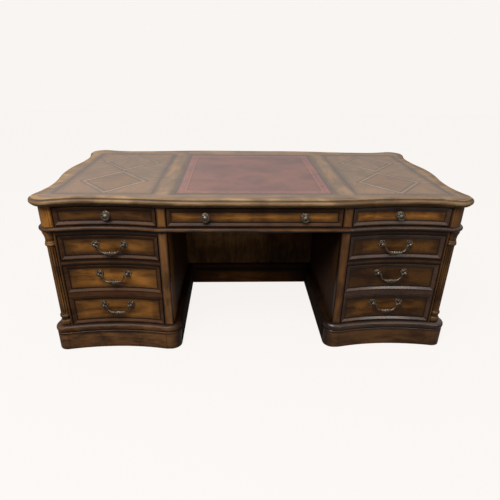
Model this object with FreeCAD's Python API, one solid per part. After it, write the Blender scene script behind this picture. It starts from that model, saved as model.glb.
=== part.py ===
import FreeCAD, Part
import math
import os
from collections import namedtuple

# Executive desk: a serpentine top section with three frieze drawers on two drawer pedestals.
# Millimetres, +Z up, drawers open towards -Y, origin on the floor under the middle of the desk.

Vector = FreeCAD.Vector
RIGHT = Vector(1, 0, 0)
BACK = Vector(0, 1, 0)
UP = Vector(0, 0, 1)

# Overall plan of the top: straight middle, hollow sweeps, rounded corner lobes
DESK_WIDTH = 1930.0
DESK_DEPTH = 1024.0
TOP_STRAIGHT = 230.0
TOP_HOLLOW_FROM_SIDE = 240.0
TOP_HOLLOW = 33.0
TOP_CORNER_R = 75.0
CORNER_BACK = 4.0
SIDE_HOLLOW_Y = 267.0
TOP_SIDE_HOLLOW = 27.0
SIDE_BOW_R = 650.0
SIDE_BOW_BACK = 3.0

# Moulded edge of the top, from the underside up: cove, roll, quirk
TOP_THICKNESS = 33.0
EDGE_WIDTH = 40.0
EDGE_COVE_HEIGHT = 8.0
EDGE_COVE_DEPTH = 10.0
EDGE_ROLL_BULGE = 8.0
EDGE_QUIRK_HEIGHT = 4.0
EDGE_QUIRK_DEPTH = 4.0

# Leather and parquetry let into the top
INLAY_THICKNESS = 2.0
LEATHER_HALF_WIDTH = 347.0
LEATHER_FRONT_MARGIN = 68.0
LEATHER_BACK_MARGIN = 109.0
LEATHER_TO_PARQUETRY = 104.0
PARQUETRY_FRONT_MARGIN = 27.0
PARQUETRY_BACK_MARGIN = 55.0
PARQUETRY_SIDE_MARGIN = 27.0
DIAMOND_BAND = 18.0
DIAMOND_SIDE_GAP = 55.0
DIAMOND_END_GAP = 10.0

# Case plan, set in under the top
CASE_FRONT_SETBACK = 34.0
CASE_SIDE_SETBACK = 29.0
CASE_CORNER_R = 46.0
CASE_SHOULDER_R = 70.0
CASE_HOLLOW_R = 1080.0
CASE_SIDE_HOLLOW = 22.0
KNEE_HALF = 386.0
STILE_WIDTH = 42.0
SHOULDER_LEAD = 10.0
POST_FRONT_LEG = 8.5
POST_SIDE_LEG = 12.5
REED_FROM_DRAWER = 5.0
REED_WIDTH = 6.0
REED_GROOVE = 2.6
REED_DEPTH = 2.4

# Board thicknesses and fits
FRAME_THICKNESS = 24.0
PANEL_SET_IN = 4.0
SIDE_THICKNESS = 20.0
PEDESTAL_BOARD_THICKNESS = 14.0
DRAWER_GAP = 3.0
WAIST_GAP = 5.0

# Heights of the stack, from the floor up
SKIRT_HEIGHT = 86.0
PLINTH_MOULDING_HEIGHT = 44.0
FILE_LOWER_PANEL = 145.0
FALSE_RAIL = 27.0
FILE_UPPER_PANEL = 139.0
DRAWER_RAIL = 26.0
BOX_FRONT = 115.0
PEDESTAL_TOP_RAIL = 20.0
WAIST_HEIGHT = 22.0
FRIEZE_FRONT = 82.0
FRIEZE_TOP_RAIL = 9.0

# Waist moulding and plinth, measured out from the case face
WAIST_LAND = 2.0
WAIST_BULGE = 11.0
WAIST_LAP = 12.0
SKIRT_PROUD = 17.0
PLINTH_LAP = 10.0
PLINTH_BEAD_HEIGHT = 8.0
PLINTH_BEAD_BULGE = 3.0
PLINTH_TORUS_LAND = 9.0
PLINTH_TORUS_BULGE = 11.0
PLINTH_FILLET_HEIGHT = 2.0
PLINTH_FILLET_PROUD = 5.0
PLINTH_CORNER_R = 26.0
KNEE_PLINTH_OUT = 14.0
KNEE_CORNER_EASE = 22.0
ROLL_STEPS = 6

# Corner columns
COLUMN_AXIS_IN = 30.0
SHAFT_R = 20.0
FLUTE_COUNT = 10
FLUTE_R = 4.5
CAPITAL_R = 29.0
NECK_R = 21.0
RING_R = 26.0
COLUMN_CLEARANCE = 0.5
CAPITAL_HEIGHT = 44.0
NECK_HEIGHT = 8.0
RING_HEIGHT = 22.0
BASE_RING_HEIGHT = 18.0
BASE_NECK_HEIGHT = 10.0
BASE_HEIGHT = 26.0

# Modesty panel
MODESTY_FROM_BACK = 307.0
MODESTY_THICKNESS = 20.0
MODESTY_SKIRT_PROUD = 18.0

# Drawer fronts: a recessed field with a mitred moulding round it
FRONT_THICKNESS = 22.0
FIELD_RECESS = 7.0
FRONT_MOULDING_FLAT = 5.0
FRONT_MOULDING_SLOPE = 10.0
FRONT_MOULDING_LAND = 3.0
FRONT_MOULDING_TOE = 1.5
FALSE_RAIL_RECESS = 2.0

# Drawer boxes and their travel
DRAWER_SIDE = 12.0
DRAWER_BOTTOM = 8.0
BOTTOM_RAISE = 8.0
PEDESTAL_DRAWER_LENGTH = 600.0
FRIEZE_DRAWER_LENGTH = 450.0
BOX_DRAWER_RAISE = 10.0
BOX_DRAWER_DROP = 19.0
FILE_DRAWER_RAISE = 18.0
FILE_DRAWER_DROP = 45.0
FRIEZE_BOX_DROP = 10.0
FRIEZE_SIDE_CLEARANCE = 4.0
GUIDE_WIDTH = 12.0
GUIDE_HEIGHT = 20.0
GUIDE_CLEARANCE = 1.0
PEDESTAL_TRAVEL = 400.0
FRIEZE_TRAVEL = 300.0

# Steel slides
SLIDE_SPACE = 12.7
SLIDE_HEIGHT = 46.0
SLIDE_LENGTH = 550.0
SLIDE_WALL = 1.5
SLIDE_LIP = 7.0
SLIDE_GAP = 0.7
SLIDE_STANDOFF = 1.7
SLIDE_CLEARANCE = 0.5
PACKER_DEPTH = 40.0

# Knobs and bail pulls
KNOB_R = 21.0
KNOB_PROJECTION = 30.0
CENTRE_KNOB_X = 217.0
PULL_FROM_TOP = 44.0
ROSETTE_SPACING = 128.0
ROSETTE_R = 17.0
ROSETTE_RIM = 2.5
ROSETTE_DOME = 7.0
POST_R = 6.5
BAIL_STANDOFF = 22.0
POST_PAST_PIN = 6.0
BAIL_PIN_R = 3.0
BAIL_PIN_CLEARANCE = 0.3
BAIL_WIRE_R = 3.5
BAIL_SWELL_R = 6.5
BAIL_DROP = 41.0
BAIL_SIDES = 8
SEAT_SINK = 2.0
BAIL_LIFT_DEG = 85.0

# Bolts between the pedestals and the top section
BOLT_R = 4.0
BOLT_HEAD_R = 8.0
BOLT_HEAD_HEIGHT = 6.0
BOLT_CLEARANCE = 0.3
BOLT_INSET = 45.0
BOLT_FROM_MIDDLE = 330.0
BOLT_REACH = 15.0

# Heights worked out from the stack
PLINTH_TOP = SKIRT_HEIGHT + PLINTH_MOULDING_HEIGHT
FILE_Z = PLINTH_TOP + DRAWER_GAP
FALSE_RAIL_Z = FILE_Z + FILE_LOWER_PANEL
FILE_UPPER_Z = FALSE_RAIL_Z + FALSE_RAIL
FILE_TOP = FILE_UPPER_Z + FILE_UPPER_PANEL
RAIL_Z = FILE_TOP + DRAWER_GAP
BOX_Z = RAIL_Z + DRAWER_RAIL + DRAWER_GAP
BOX_TOP = BOX_Z + BOX_FRONT
TOP_RAIL_Z = BOX_TOP + DRAWER_GAP
PEDESTAL_TOP = TOP_RAIL_Z + PEDESTAL_TOP_RAIL
WAIST_TOP = PEDESTAL_TOP + WAIST_HEIGHT
FRIEZE_Z = WAIST_TOP + WAIST_GAP
FRIEZE_FRONT_TOP = FRIEZE_Z + FRIEZE_FRONT
FRIEZE_RAIL_Z = FRIEZE_FRONT_TOP + DRAWER_GAP
TOP_Z = FRIEZE_RAIL_Z + FRIEZE_TOP_RAIL
DESK_HEIGHT = TOP_Z + TOP_THICKNESS

# Widths and depths worked out from the plans
CASE_HALF_WIDTH = DESK_WIDTH / 2 - CASE_SIDE_SETBACK
CASE_HALF_DEPTH = DESK_DEPTH / 2 - CASE_FRONT_SETBACK
CORNER_POST = COLUMN_AXIS_IN + CAPITAL_R + COLUMN_CLEARANCE + POST_FRONT_LEG
POST_DEPTH = CORNER_BACK + COLUMN_AXIS_IN + CAPITAL_R + COLUMN_CLEARANCE + POST_SIDE_LEG
POST_X = CASE_HALF_WIDTH - CORNER_POST
POST_Y = CASE_HALF_DEPTH - POST_DEPTH
STILE_X = KNEE_HALF + STILE_WIDTH
FRONT_X0 = STILE_X + DRAWER_GAP
FRONT_X1 = POST_X - DRAWER_GAP
FRONT_MIDDLE = (FRONT_X0 + FRONT_X1) / 2
CENTRE_HALF = KNEE_HALF - DRAWER_GAP
PARTITION_X0 = KNEE_HALF + (STILE_WIDTH - SIDE_THICKNESS) / 2
PARTITION_X1 = PARTITION_X0 + SIDE_THICKNESS
COLUMN_X = CASE_HALF_WIDTH - COLUMN_AXIS_IN
COLUMN_Y = CASE_HALF_DEPTH - CORNER_BACK - COLUMN_AXIS_IN
MODESTY_Y = DESK_DEPTH / 2 - MODESTY_FROM_BACK
INNER_BACK = CASE_HALF_DEPTH - FRAME_THICKNESS
SLIDE_FRONT = -POST_Y
KNEE_LINE = KNEE_HALF - KNEE_PLINTH_OUT
KNEE_CORNER_R = PLINTH_LAP + KNEE_CORNER_EASE
FRONT_MOULDING_WIDTH = FRONT_MOULDING_FLAT + FRONT_MOULDING_SLOPE + FRONT_MOULDING_LAND
LEATHER_Y0 = EDGE_WIDTH + LEATHER_FRONT_MARGIN - DESK_DEPTH / 2
LEATHER_Y1 = DESK_DEPTH / 2 - EDGE_WIDTH - LEATHER_BACK_MARGIN
PARQUETRY_X0 = LEATHER_HALF_WIDTH + LEATHER_TO_PARQUETRY
PARQUETRY_X1 = DESK_WIDTH / 2 - TOP_SIDE_HOLLOW - EDGE_WIDTH - PARQUETRY_SIDE_MARGIN
PARQUETRY_Y0 = TOP_HOLLOW + EDGE_WIDTH + PARQUETRY_FRONT_MARGIN - DESK_DEPTH / 2
PARQUETRY_Y1 = DESK_DEPTH / 2 - TOP_HOLLOW - EDGE_WIDTH - PARQUETRY_BACK_MARGIN

Plan = namedtuple("Plan", "half_width half_depth straight shoulder_r hollow_x hollow "
                          "corner_r side_hollow")


def corner_centre(plan):
    """Middle of the corner lobe, at the front right."""
    return Vector(plan.half_width - plan.corner_r, CORNER_BACK + plan.corner_r - plan.half_depth, 0)


def touching_hollow(half_width, half_depth, straight, shoulder_r, corner_r, hollow_r):
    """Place of the one arc that touches the shoulder's circle and the corner's circle from outside."""
    shoulder = Vector(straight, shoulder_r - half_depth, 0)
    corner = Vector(half_width - corner_r, CORNER_BACK + corner_r - half_depth, 0)
    between = corner - shoulder
    gap = between.Length
    reach_shoulder = shoulder_r + hollow_r
    reach_corner = corner_r + hollow_r
    along = (gap ** 2 + reach_shoulder ** 2 - reach_corner ** 2) / (2 * gap)
    out = math.sqrt(reach_shoulder ** 2 - along ** 2)
    unit = between / gap
    return shoulder + unit * along + Vector(unit.y, -unit.x, 0) * out


TOP_HOLLOW_X = DESK_WIDTH / 2 - TOP_HOLLOW_FROM_SIDE
TOP_SWEEP_R = ((TOP_HOLLOW_X - TOP_STRAIGHT) ** 2 + TOP_HOLLOW ** 2) / (4 * TOP_HOLLOW)
TOP = Plan(DESK_WIDTH / 2, DESK_DEPTH / 2, TOP_STRAIGHT, TOP_SWEEP_R, TOP_HOLLOW_X, TOP_HOLLOW,
           TOP_CORNER_R, TOP_SIDE_HOLLOW)
CASE_STRAIGHT = STILE_X - SHOULDER_LEAD
HOLLOW_AXIS = touching_hollow(CASE_HALF_WIDTH, CASE_HALF_DEPTH, CASE_STRAIGHT, CASE_SHOULDER_R,
                              CASE_CORNER_R, CASE_HOLLOW_R)
CASE = Plan(CASE_HALF_WIDTH, CASE_HALF_DEPTH, CASE_STRAIGHT, CASE_SHOULDER_R, HOLLOW_AXIS.x,
            HOLLOW_AXIS.y + CASE_HOLLOW_R + CASE_HALF_DEPTH, CASE_CORNER_R, CASE_SIDE_HOLLOW)
PLINTH = CASE._replace(corner_r=PLINTH_CORNER_R)


def s_bend(start, end, along, convex_r, convex_first):
    """Two touching arcs from start to end that leave both ends in the direction along."""
    step = end - start
    travel = step.dot(along)
    shift = step - along * travel
    drop = shift.Length
    across = shift / drop
    both_r = (travel ** 2 + drop ** 2) / (2 * drop)
    angle = 2 * math.atan2(drop, travel)
    first_r = convex_r if convex_first else both_r - convex_r
    second_r = both_r - first_r

    def offset(radius, turn):
        return along * (radius * math.sin(turn)) + across * (radius * (1 - math.cos(turn)))

    knee = start + offset(first_r, angle)
    return [(start, start + offset(first_r, angle / 2), knee),
            (knee, end - offset(second_r, angle / 2), end)]


def quarter(plan, inset):
    """Front right quarter of an outline, as lines of two points and arcs of three."""
    front = inset - plan.half_depth
    side = plan.half_width - inset
    corner_r = plan.corner_r - inset
    diagonal = corner_r * math.sqrt(0.5)
    centre = corner_centre(plan)
    shoulder = Vector(plan.straight, front, 0)
    hollow = Vector(plan.hollow_x, front + plan.hollow, 0)
    lobe_front = centre - BACK * corner_r
    lobe_side = centre + RIGHT * corner_r
    side_hollow = Vector(side - plan.side_hollow, -SIDE_HOLLOW_Y, 0)
    bow = Vector(side - SIDE_BOW_BACK, 0, 0)
    runs = [(Vector(0, front, 0), shoulder)]
    runs += s_bend(shoulder, hollow, RIGHT, plan.shoulder_r - inset, True)
    runs += s_bend(hollow, lobe_front, RIGHT, corner_r, False)
    runs += [(lobe_front, centre + Vector(diagonal, -diagonal, 0), lobe_side)]
    runs += s_bend(lobe_side, side_hollow, BACK, corner_r, True)
    runs += s_bend(side_hollow, bow, BACK, SIDE_BOW_R - inset, False)
    return runs


def flipped(runs, x_sign, y_sign):
    """The same runs mirrored in plan."""
    return [tuple(Vector(p.x * x_sign, p.y * y_sign, 0) for p in run) for run in runs]


def wire(runs, height):
    """Closed wire of the runs at a height."""
    edges = []
    for run in runs:
        points = [Vector(p.x, p.y, height) for p in run]
        if len(points) == 2:
            edges.append(Part.LineSegment(*points).toShape())
        else:
            edges.append(Part.Arc(*points).toShape())
    return Part.Wire(Part.sortEdges(edges)[0])


def outline(plan, inset, height):
    """Whole outline of a plan, set in from its edge."""
    runs = quarter(plan, inset)
    whole = runs + flipped(runs, -1, 1) + flipped(runs, 1, -1) + flipped(runs, -1, -1)
    return wire(whole, height)


def pedestal_outline(inset, height):
    """Outline of the right plinth: the case plan closed with a round corner at the kneehole."""
    centre = Vector(KNEE_LINE + KNEE_CORNER_R, KNEE_CORNER_R - CASE_HALF_DEPTH, 0)
    radius = KNEE_CORNER_R - inset
    diagonal = radius * math.sqrt(0.5)
    front_end = centre - BACK * radius
    side_end = centre - RIGHT * radius
    half = [(side_end, centre - Vector(diagonal, diagonal, 0), front_end)]
    half += [(front_end, Vector(CASE.straight, front_end.y, 0))]
    half += quarter(PLINTH, inset)[1:]
    knee_side = (side_end, Vector(side_end.x, -side_end.y, 0))
    return wire(half + flipped(half, 1, -1) + [knee_side], height)


def case_outline(inset, height):
    return outline(CASE, inset, height)


def top_outline(inset, height):
    return outline(TOP, inset, height)


def slab(outline_at, inset, z0, z1):
    """Flat board with the given outline."""
    return Part.Face(outline_at(inset, z0)).extrude(UP * (z1 - z0))


def band(outer, inner, z0, z1):
    """Upright board that follows the case plan all round."""
    return slab(case_outline, outer, z0, z1).cut(slab(case_outline, inner, z0, z1))


def block(x0, x1, y0, y1, z0, z1):
    return Part.makeBox(x1 - x0, y1 - y0, z1 - z0, Vector(x0, y0, z0))


def prism(points, z0, z1):
    """Upright prism over a polygon in plan."""
    corners = [Vector(p.x, p.y, z0) for p in points]
    return Part.Face(Part.makePolygon(corners + corners[:1])).extrude(UP * (z1 - z0))


def mirror_x(shape):
    return shape.mirror(Vector(0, 0, 0), RIGHT)


def mirror_y(shape):
    return shape.mirror(Vector(0, 0, 0), BACK)


def both_sides(shapes):
    """Right-hand pieces and their left-hand twins."""
    return shapes + [mirror_x(shape) for shape in shapes]


def all_corners(shapes):
    """Pieces of the front right corner repeated at the other three."""
    return both_sides(shapes + [mirror_y(shape) for shape in shapes])


def roll(z0, z1, land, bulge):
    """Half-round profile between two heights, from a land that stands proud of the plan."""
    points = []
    for step in range(ROLL_STEPS + 1):
        turn = math.pi * step / ROLL_STEPS
        height = (z0 + z1) / 2 - (z1 - z0) / 2 * math.cos(turn)
        points.append((-land - bulge * math.sin(turn), height))
    return points


def cove(z0, z1, inset, depth):
    """Quarter-hollow profile that comes out as it rises."""
    points = []
    half_steps = ROLL_STEPS // 2
    for step in range(half_steps + 1):
        turn = math.pi / 2 * step / half_steps
        points.append((inset + depth * (1 - math.sin(turn)), z1 - (z1 - z0) * math.cos(turn)))
    return points


def moulded_ring(outline_at, profile, inner_inset):
    """Moulding that follows an outline: ruled faces through the profile's points."""
    rings = [outline_at(inset, height) for inset, height in profile]
    body = Part.makeLoft(rings, True, True)
    return body.cut(slab(outline_at, inner_inset, profile[0][1], profile[-1][1]))


def mitred_round_desk(ring, plan, z0, z1):
    """A ring round the whole desk, cut into four lengths at the middle of each corner lobe."""
    corner = corner_centre(plan)
    reach = DESK_WIDTH
    inner = Vector(corner.x + corner.y, 0, 0)
    outer = corner + Vector(reach, -reach, 0)
    front = [inner, outer, Vector(-outer.x, outer.y, 0), -inner]
    side = [inner, outer, Vector(outer.x, -outer.y, 0)]
    front_length = ring.common(prism(front, z0, z1))
    side_length = ring.common(prism(side, z0, z1))
    return [front_length, mirror_y(front_length), side_length, mirror_x(side_length)]


def mitred_round_pedestal(ring, z0, z1):
    """A ring round the right pedestal, cut into four lengths at its corners."""
    outer = corner_centre(PLINTH)
    inner = Vector(KNEE_LINE + KNEE_CORNER_R, KNEE_CORNER_R - CASE_HALF_DEPTH, 0)
    reach = DESK_WIDTH
    half_span = (outer.x - inner.x + outer.y - inner.y) / 2
    meet = inner + Vector(half_span, half_span, 0)
    far_outer = outer + Vector(reach, -reach, 0)
    far_inner = inner - Vector(reach, reach, 0)
    far_back_outer = Vector(far_outer.x, -far_outer.y, 0)
    far_back_inner = Vector(far_inner.x, -far_inner.y, 0)
    meet_back = Vector(meet.x, -meet.y, 0)
    front = ring.common(prism([inner, far_inner, far_outer, outer, meet], z0, z1))
    side = ring.common(prism([meet, outer, far_outer, far_back_outer, meet_back], z0, z1))
    knee = ring.common(prism([meet, inner, far_inner, far_back_inner, meet_back], z0, z1))
    return [front, mirror_y(front), side, knee]


def top_board():
    """Core of the top, with shallow recesses for the leather and the parquetry."""
    board = slab(top_outline, EDGE_WIDTH, TOP_Z, DESK_HEIGHT)
    recess_z = DESK_HEIGHT - INLAY_THICKNESS
    recess = block(PARQUETRY_X0, PARQUETRY_X1, PARQUETRY_Y0, PARQUETRY_Y1, recess_z, DESK_HEIGHT)
    for inlay in both_sides([recess]) + [leather_block(recess_z)]:
        board = board.cut(inlay)
    return [board]


def leather_block(z0):
    return block(-LEATHER_HALF_WIDTH, LEATHER_HALF_WIDTH, LEATHER_Y0, LEATHER_Y1, z0, DESK_HEIGHT)


def leather_inset():
    return [leather_block(DESK_HEIGHT - INLAY_THICKNESS)]


def parquetry_panels():
    """Two banded diamonds in line in each panel, tied to each other and to its edges by short bars."""
    z0 = DESK_HEIGHT - INLAY_THICKNESS
    middle = (PARQUETRY_X0 + PARQUETRY_X1) / 2
    half_width = PARQUETRY_X1 - middle - DIAMOND_SIDE_GAP
    half_length = (PARQUETRY_Y1 - PARQUETRY_Y0 - 3 * DIAMOND_END_GAP) / 4
    ys = (PARQUETRY_Y0 + DIAMOND_END_GAP + half_length, PARQUETRY_Y1 - DIAMOND_END_GAP - half_length)
    shrink = 1 - DIAMOND_BAND * math.hypot(half_width, half_length) / (half_width * half_length)
    half_bar = DIAMOND_BAND / 2

    def diamond(y, scale):
        points = [Vector(middle, y - half_length * scale), Vector(middle + half_width * scale, y),
                  Vector(middle, y + half_length * scale), Vector(middle - half_width * scale, y)]
        return prism(points, z0, DESK_HEIGHT)

    ground = block(PARQUETRY_X0, PARQUETRY_X1, PARQUETRY_Y0, PARQUETRY_Y1, z0, DESK_HEIGHT)
    bars = [block(PARQUETRY_X0, PARQUETRY_X1, y - half_bar, y + half_bar, z0, DESK_HEIGHT) for y in ys]
    bars.append(block(middle - half_bar, middle + half_bar, PARQUETRY_Y0, PARQUETRY_Y1, z0, DESK_HEIGHT))
    pieces = []
    for y in ys:
        field = diamond(y, shrink)
        outline = diamond(y, 1.0)
        pieces += [field, outline.cut(field)]
        ground = ground.cut(outline)
        bars = [bar.cut(outline) for bar in bars]
    for bar in bars:
        ground = ground.cut(bar)
        pieces += bar.Solids
    return both_sides(pieces + ground.Solids)


def top_edge_moulding():
    """Four mitred lengths: cove below, a thick roll, and a small quirk under the flat of the top."""
    roll_land = -EDGE_ROLL_BULGE
    cove_top = TOP_Z + EDGE_COVE_HEIGHT
    roll_top = DESK_HEIGHT - EDGE_QUIRK_HEIGHT
    profile = cove(TOP_Z, cove_top, EDGE_ROLL_BULGE, EDGE_COVE_DEPTH)[:-1]
    profile += roll(cove_top, roll_top, roll_land, EDGE_ROLL_BULGE)
    lip = EDGE_ROLL_BULGE + EDGE_QUIRK_DEPTH
    profile += [(lip, roll_top + EDGE_QUIRK_HEIGHT / 4), (lip, DESK_HEIGHT)]
    ring = moulded_ring(top_outline, profile, EDGE_WIDTH)
    return mitred_round_desk(ring, TOP, TOP_Z, DESK_HEIGHT)


def frieze_corner_posts():
    body = slab(case_outline, 0, WAIST_TOP, TOP_Z)
    post = body.common(block(POST_X, CASE_HALF_WIDTH, -CASE_HALF_DEPTH, -POST_Y, WAIST_TOP, TOP_Z))
    skin = band(0, REED_DEPTH, WAIST_TOP, TOP_Z)
    for x in (POST_X + REED_FROM_DRAWER, POST_X + REED_FROM_DRAWER + REED_GROOVE + REED_WIDTH):
        post = post.cut(skin.common(block(x, x + REED_GROOVE, -CASE_HALF_DEPTH, -POST_Y, WAIST_TOP, TOP_Z)))
    return all_corners([post])


def front_y(x, inset):
    """Where the hollow front of the right pedestal lies at x."""
    return HOLLOW_AXIS.y + math.sqrt((CASE_HOLLOW_R + inset) ** 2 - (x - HOLLOW_AXIS.x) ** 2)


def swept_front(profile, x0, x1):
    """A profile of (inset, height) points swept along the hollow front from x0 to x1."""
    points = [Vector(HOLLOW_AXIS.x, HOLLOW_AXIS.y + CASE_HOLLOW_R + inset, z) for inset, z in profile]
    face = Part.Face(Part.makePolygon(points + points[:1]))
    start = math.degrees(math.asin((x0 - STILE_WIDTH - HOLLOW_AXIS.x) / CASE_HOLLOW_R))
    end = math.degrees(math.asin((x1 + STILE_WIDTH - HOLLOW_AXIS.x) / CASE_HOLLOW_R))
    face.rotate(HOLLOW_AXIS, UP, -start)
    return face.revolve(HOLLOW_AXIS, UP, start - end)


def straight_front(profile, x0, x1):
    """The same profile run straight across the middle of the desk."""
    points = [Vector(x0, inset - CASE_HALF_DEPTH, z) for inset, z in profile]
    return Part.Face(Part.makePolygon(points + points[:1])).extrude(RIGHT * (x1 - x0))


def strip(run, x0, x1, z0, z1, outer, inner):
    """Plain strip of a front between two insets."""
    profile = [(outer, z0), (inner, z0), (inner, z1), (outer, z1)]
    reach = CASE_HALF_DEPTH + FRAME_THICKNESS
    return run(profile, x0, x1).common(block(x0, x1, -reach, 0, z0, z1))


def face_prism(points):
    """Prism over a polygon seen from the front, through the whole front."""
    corners = [Vector(x, -DESK_DEPTH, z) for x, z in points]
    return Part.Face(Part.makePolygon(corners + corners[:1])).extrude(BACK * DESK_DEPTH)


def panel_moulding(run, line_y, x0, x1, z0, z1):
    """Four mitred lengths of moulding that slope in to the recessed field."""
    width = FRONT_MOULDING_WIDTH
    section = [(FIELD_RECESS, 0), (0, 0), (0, FRONT_MOULDING_FLAT),
               (FIELD_RECESS - FRONT_MOULDING_TOE, FRONT_MOULDING_FLAT + FRONT_MOULDING_SLOPE),
               (FIELD_RECESS - FRONT_MOULDING_TOE, width), (FIELD_RECESS, width)]
    low = run([(inset, z0 + across) for inset, across in section], x0, x1)
    high = run([(inset, z1 - across) for inset, across in section], x0, x1)
    left = prism([Vector(x0 + across, line_y(x0 + across, inset)) for inset, across in section], z0, z1)
    right = prism([Vector(x1 - across, line_y(x1 - across, inset)) for inset, across in section], z0, z1)
    outer = [(x0, z0), (x1, z0), (x1, z1), (x0, z1)]
    inner = [(x0 + width, z0 + width), (x1 - width, z0 + width),
             (x1 - width, z1 - width), (x0 + width, z1 - width)]
    pieces = []
    for side, length in enumerate((low, right, high, left)):
        after = (side + 1) % 4
        mitre = face_prism([outer[side], outer[after], inner[after], inner[side]])
        pieces.append(length.common(mitre))
    return pieces


def middle_y(x, inset):
    """The straight front across the middle, which lies alike at every x."""
    return inset - CASE_HALF_DEPTH


def framed_front(run, line_y, x0, x1, panels):
    """A front board with a mitred moulding round each of its panels, and false rails between."""
    z0, z1 = panels[0][0], panels[-1][1]
    pieces = [strip(run, x0, x1, z0, z1, FIELD_RECESS, FRONT_THICKNESS)]
    for low, high in panels:
        pieces += panel_moulding(run, line_y, x0, x1, low, high)
    for below, above in zip(panels, panels[1:]):
        pieces.append(strip(run, x0, x1, below[1], above[0], FALSE_RAIL_RECESS, FIELD_RECESS))
    return pieces


def behind_fronts():
    """Everything behind the drawer fronts, for cutting drawer boxes to the curve."""
    return slab(case_outline, FRONT_THICKNESS, 0, DESK_HEIGHT)


def drawer_box(x0, x1, length, z0, height):
    """Two sides, a back and a bottom, cut at the front to the back of the drawer front."""
    room = behind_fronts()
    back = length - CASE_HALF_DEPTH
    front = -CASE_HALF_DEPTH
    z1 = z0 + height
    bottom_z = z0 + BOTTOM_RAISE
    inner0, inner1 = x0 + DRAWER_SIDE, x1 - DRAWER_SIDE
    sides = [block(x0, inner0, front, back, z0, z1), block(inner1, x1, front, back, z0, z1)]
    bottom = block(inner0, inner1, front, back - DRAWER_SIDE, bottom_z, bottom_z + DRAWER_BOTTOM)
    rear = block(inner0, inner1, back - DRAWER_SIDE, back, z0, z1)
    return [side.common(room) for side in sides] + [bottom.common(room), rear]


BOX_X0 = FRONT_X0 + SLIDE_SPACE
BOX_X1 = FRONT_X1 - SLIDE_SPACE
FRIEZE_X0 = FRONT_X0 + FRIEZE_SIDE_CLEARANCE
FRIEZE_X1 = FRONT_X1 - FRIEZE_SIDE_CLEARANCE
CENTRE_BOX_HALF = CENTRE_HALF - FRIEZE_SIDE_CLEARANCE
BOX_DRAWER_Z = BOX_Z + BOX_DRAWER_RAISE
BOX_DRAWER_HEIGHT = BOX_TOP - BOX_DRAWER_DROP - BOX_DRAWER_Z
FILE_DRAWER_Z = FILE_Z + FILE_DRAWER_RAISE
FILE_DRAWER_HEIGHT = FILE_TOP - FILE_DRAWER_DROP - FILE_DRAWER_Z
FRIEZE_BOX_HEIGHT = FRIEZE_RAIL_Z - FRIEZE_BOX_DROP - WAIST_TOP
BOX_SLIDE_Z = BOX_DRAWER_Z + BOX_DRAWER_HEIGHT / 2
FILE_SLIDE_Z = FILE_DRAWER_Z + FILE_DRAWER_HEIGHT / 2


def slide_channel(x_wall, facing, z_middle):
    """Fixed C-channel of a slide: web on the case, lips towards the drawer."""
    half = SLIDE_HEIGHT / 2
    depth = SLIDE_SPACE - SLIDE_STANDOFF
    lip_edge = half - SLIDE_WALL - SLIDE_LIP
    points = [(0, -half), (depth, -half), (depth, -lip_edge), (depth - SLIDE_WALL, -lip_edge),
              (depth - SLIDE_WALL, SLIDE_WALL - half), (SLIDE_WALL, SLIDE_WALL - half),
              (SLIDE_WALL, half - SLIDE_WALL), (depth - SLIDE_WALL, half - SLIDE_WALL),
              (depth - SLIDE_WALL, lip_edge), (depth, lip_edge), (depth, half), (0, half)]
    corners = [Vector(x_wall + facing * out, SLIDE_FRONT, z_middle + up) for out, up in points]
    return Part.Face(Part.makePolygon(corners + corners[:1])).extrude(BACK * SLIDE_LENGTH)


def slide_bar(x_wall, facing, z_middle):
    """Moving member: a bar held behind the lips, with a neck out to the drawer side."""
    depth = SLIDE_SPACE - SLIDE_STANDOFF
    half_bar = SLIDE_HEIGHT / 2 - SLIDE_WALL - SLIDE_GAP
    half_neck = half_bar - SLIDE_LIP - SLIDE_GAP
    bar_in = SLIDE_WALL + SLIDE_CLEARANCE
    bar_out = depth - SLIDE_WALL - SLIDE_CLEARANCE
    points = [(bar_in, -half_bar), (bar_out, -half_bar), (bar_out, -half_neck), (SLIDE_SPACE, -half_neck),
              (SLIDE_SPACE, half_neck), (bar_out, half_neck), (bar_out, half_bar), (bar_in, half_bar)]
    corners = [Vector(x_wall + facing * out, SLIDE_FRONT, z_middle + up) for out, up in points]
    return Part.Face(Part.makePolygon(corners + corners[:1])).extrude(BACK * SLIDE_LENGTH)


def slide_pair(member, z_middle):
    """A member at each side of the right pedestal's drawer space."""
    return [member(FRONT_X0, 1, z_middle), member(FRONT_X1, -1, z_middle)]


def slide_packers():
    """Upright packers that bring the slides out to the edges of the drawer opening."""
    outer_room = slab(case_outline, FRAME_THICKNESS, PLINTH_TOP, TOP_RAIL_Z)
    rear = SLIDE_FRONT + SLIDE_LENGTH - PACKER_DEPTH
    top = PEDESTAL_TOP - PEDESTAL_BOARD_THICKNESS
    pieces = []
    for y0 in (SLIDE_FRONT, rear):
        y1 = y0 + PACKER_DEPTH
        pieces.append(block(KNEE_HALF + SIDE_THICKNESS, FRONT_X0, y0, y1, PLINTH_TOP, top))
        outer = block(FRONT_X1, CASE_HALF_WIDTH, y0, y1, PLINTH_TOP, TOP_RAIL_Z)
        pieces.append(outer.common(outer_room))
    return pieces


def pedestal_corner_post():
    """Angle post at the front outer corner, with a rebate for the column."""
    body = slab(case_outline, 0, PLINTH_TOP, PEDESTAL_TOP)
    post = body.common(block(POST_X, CASE_HALF_WIDTH, -CASE_HALF_DEPTH, -POST_Y, PLINTH_TOP, PEDESTAL_TOP))
    face_x = COLUMN_X - CAPITAL_R - COLUMN_CLEARANCE
    face_y = -COLUMN_Y + CAPITAL_R + COLUMN_CLEARANCE
    return post.cut(block(face_x, DESK_WIDTH, -DESK_DEPTH, face_y, PLINTH_TOP, PEDESTAL_TOP))


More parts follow.
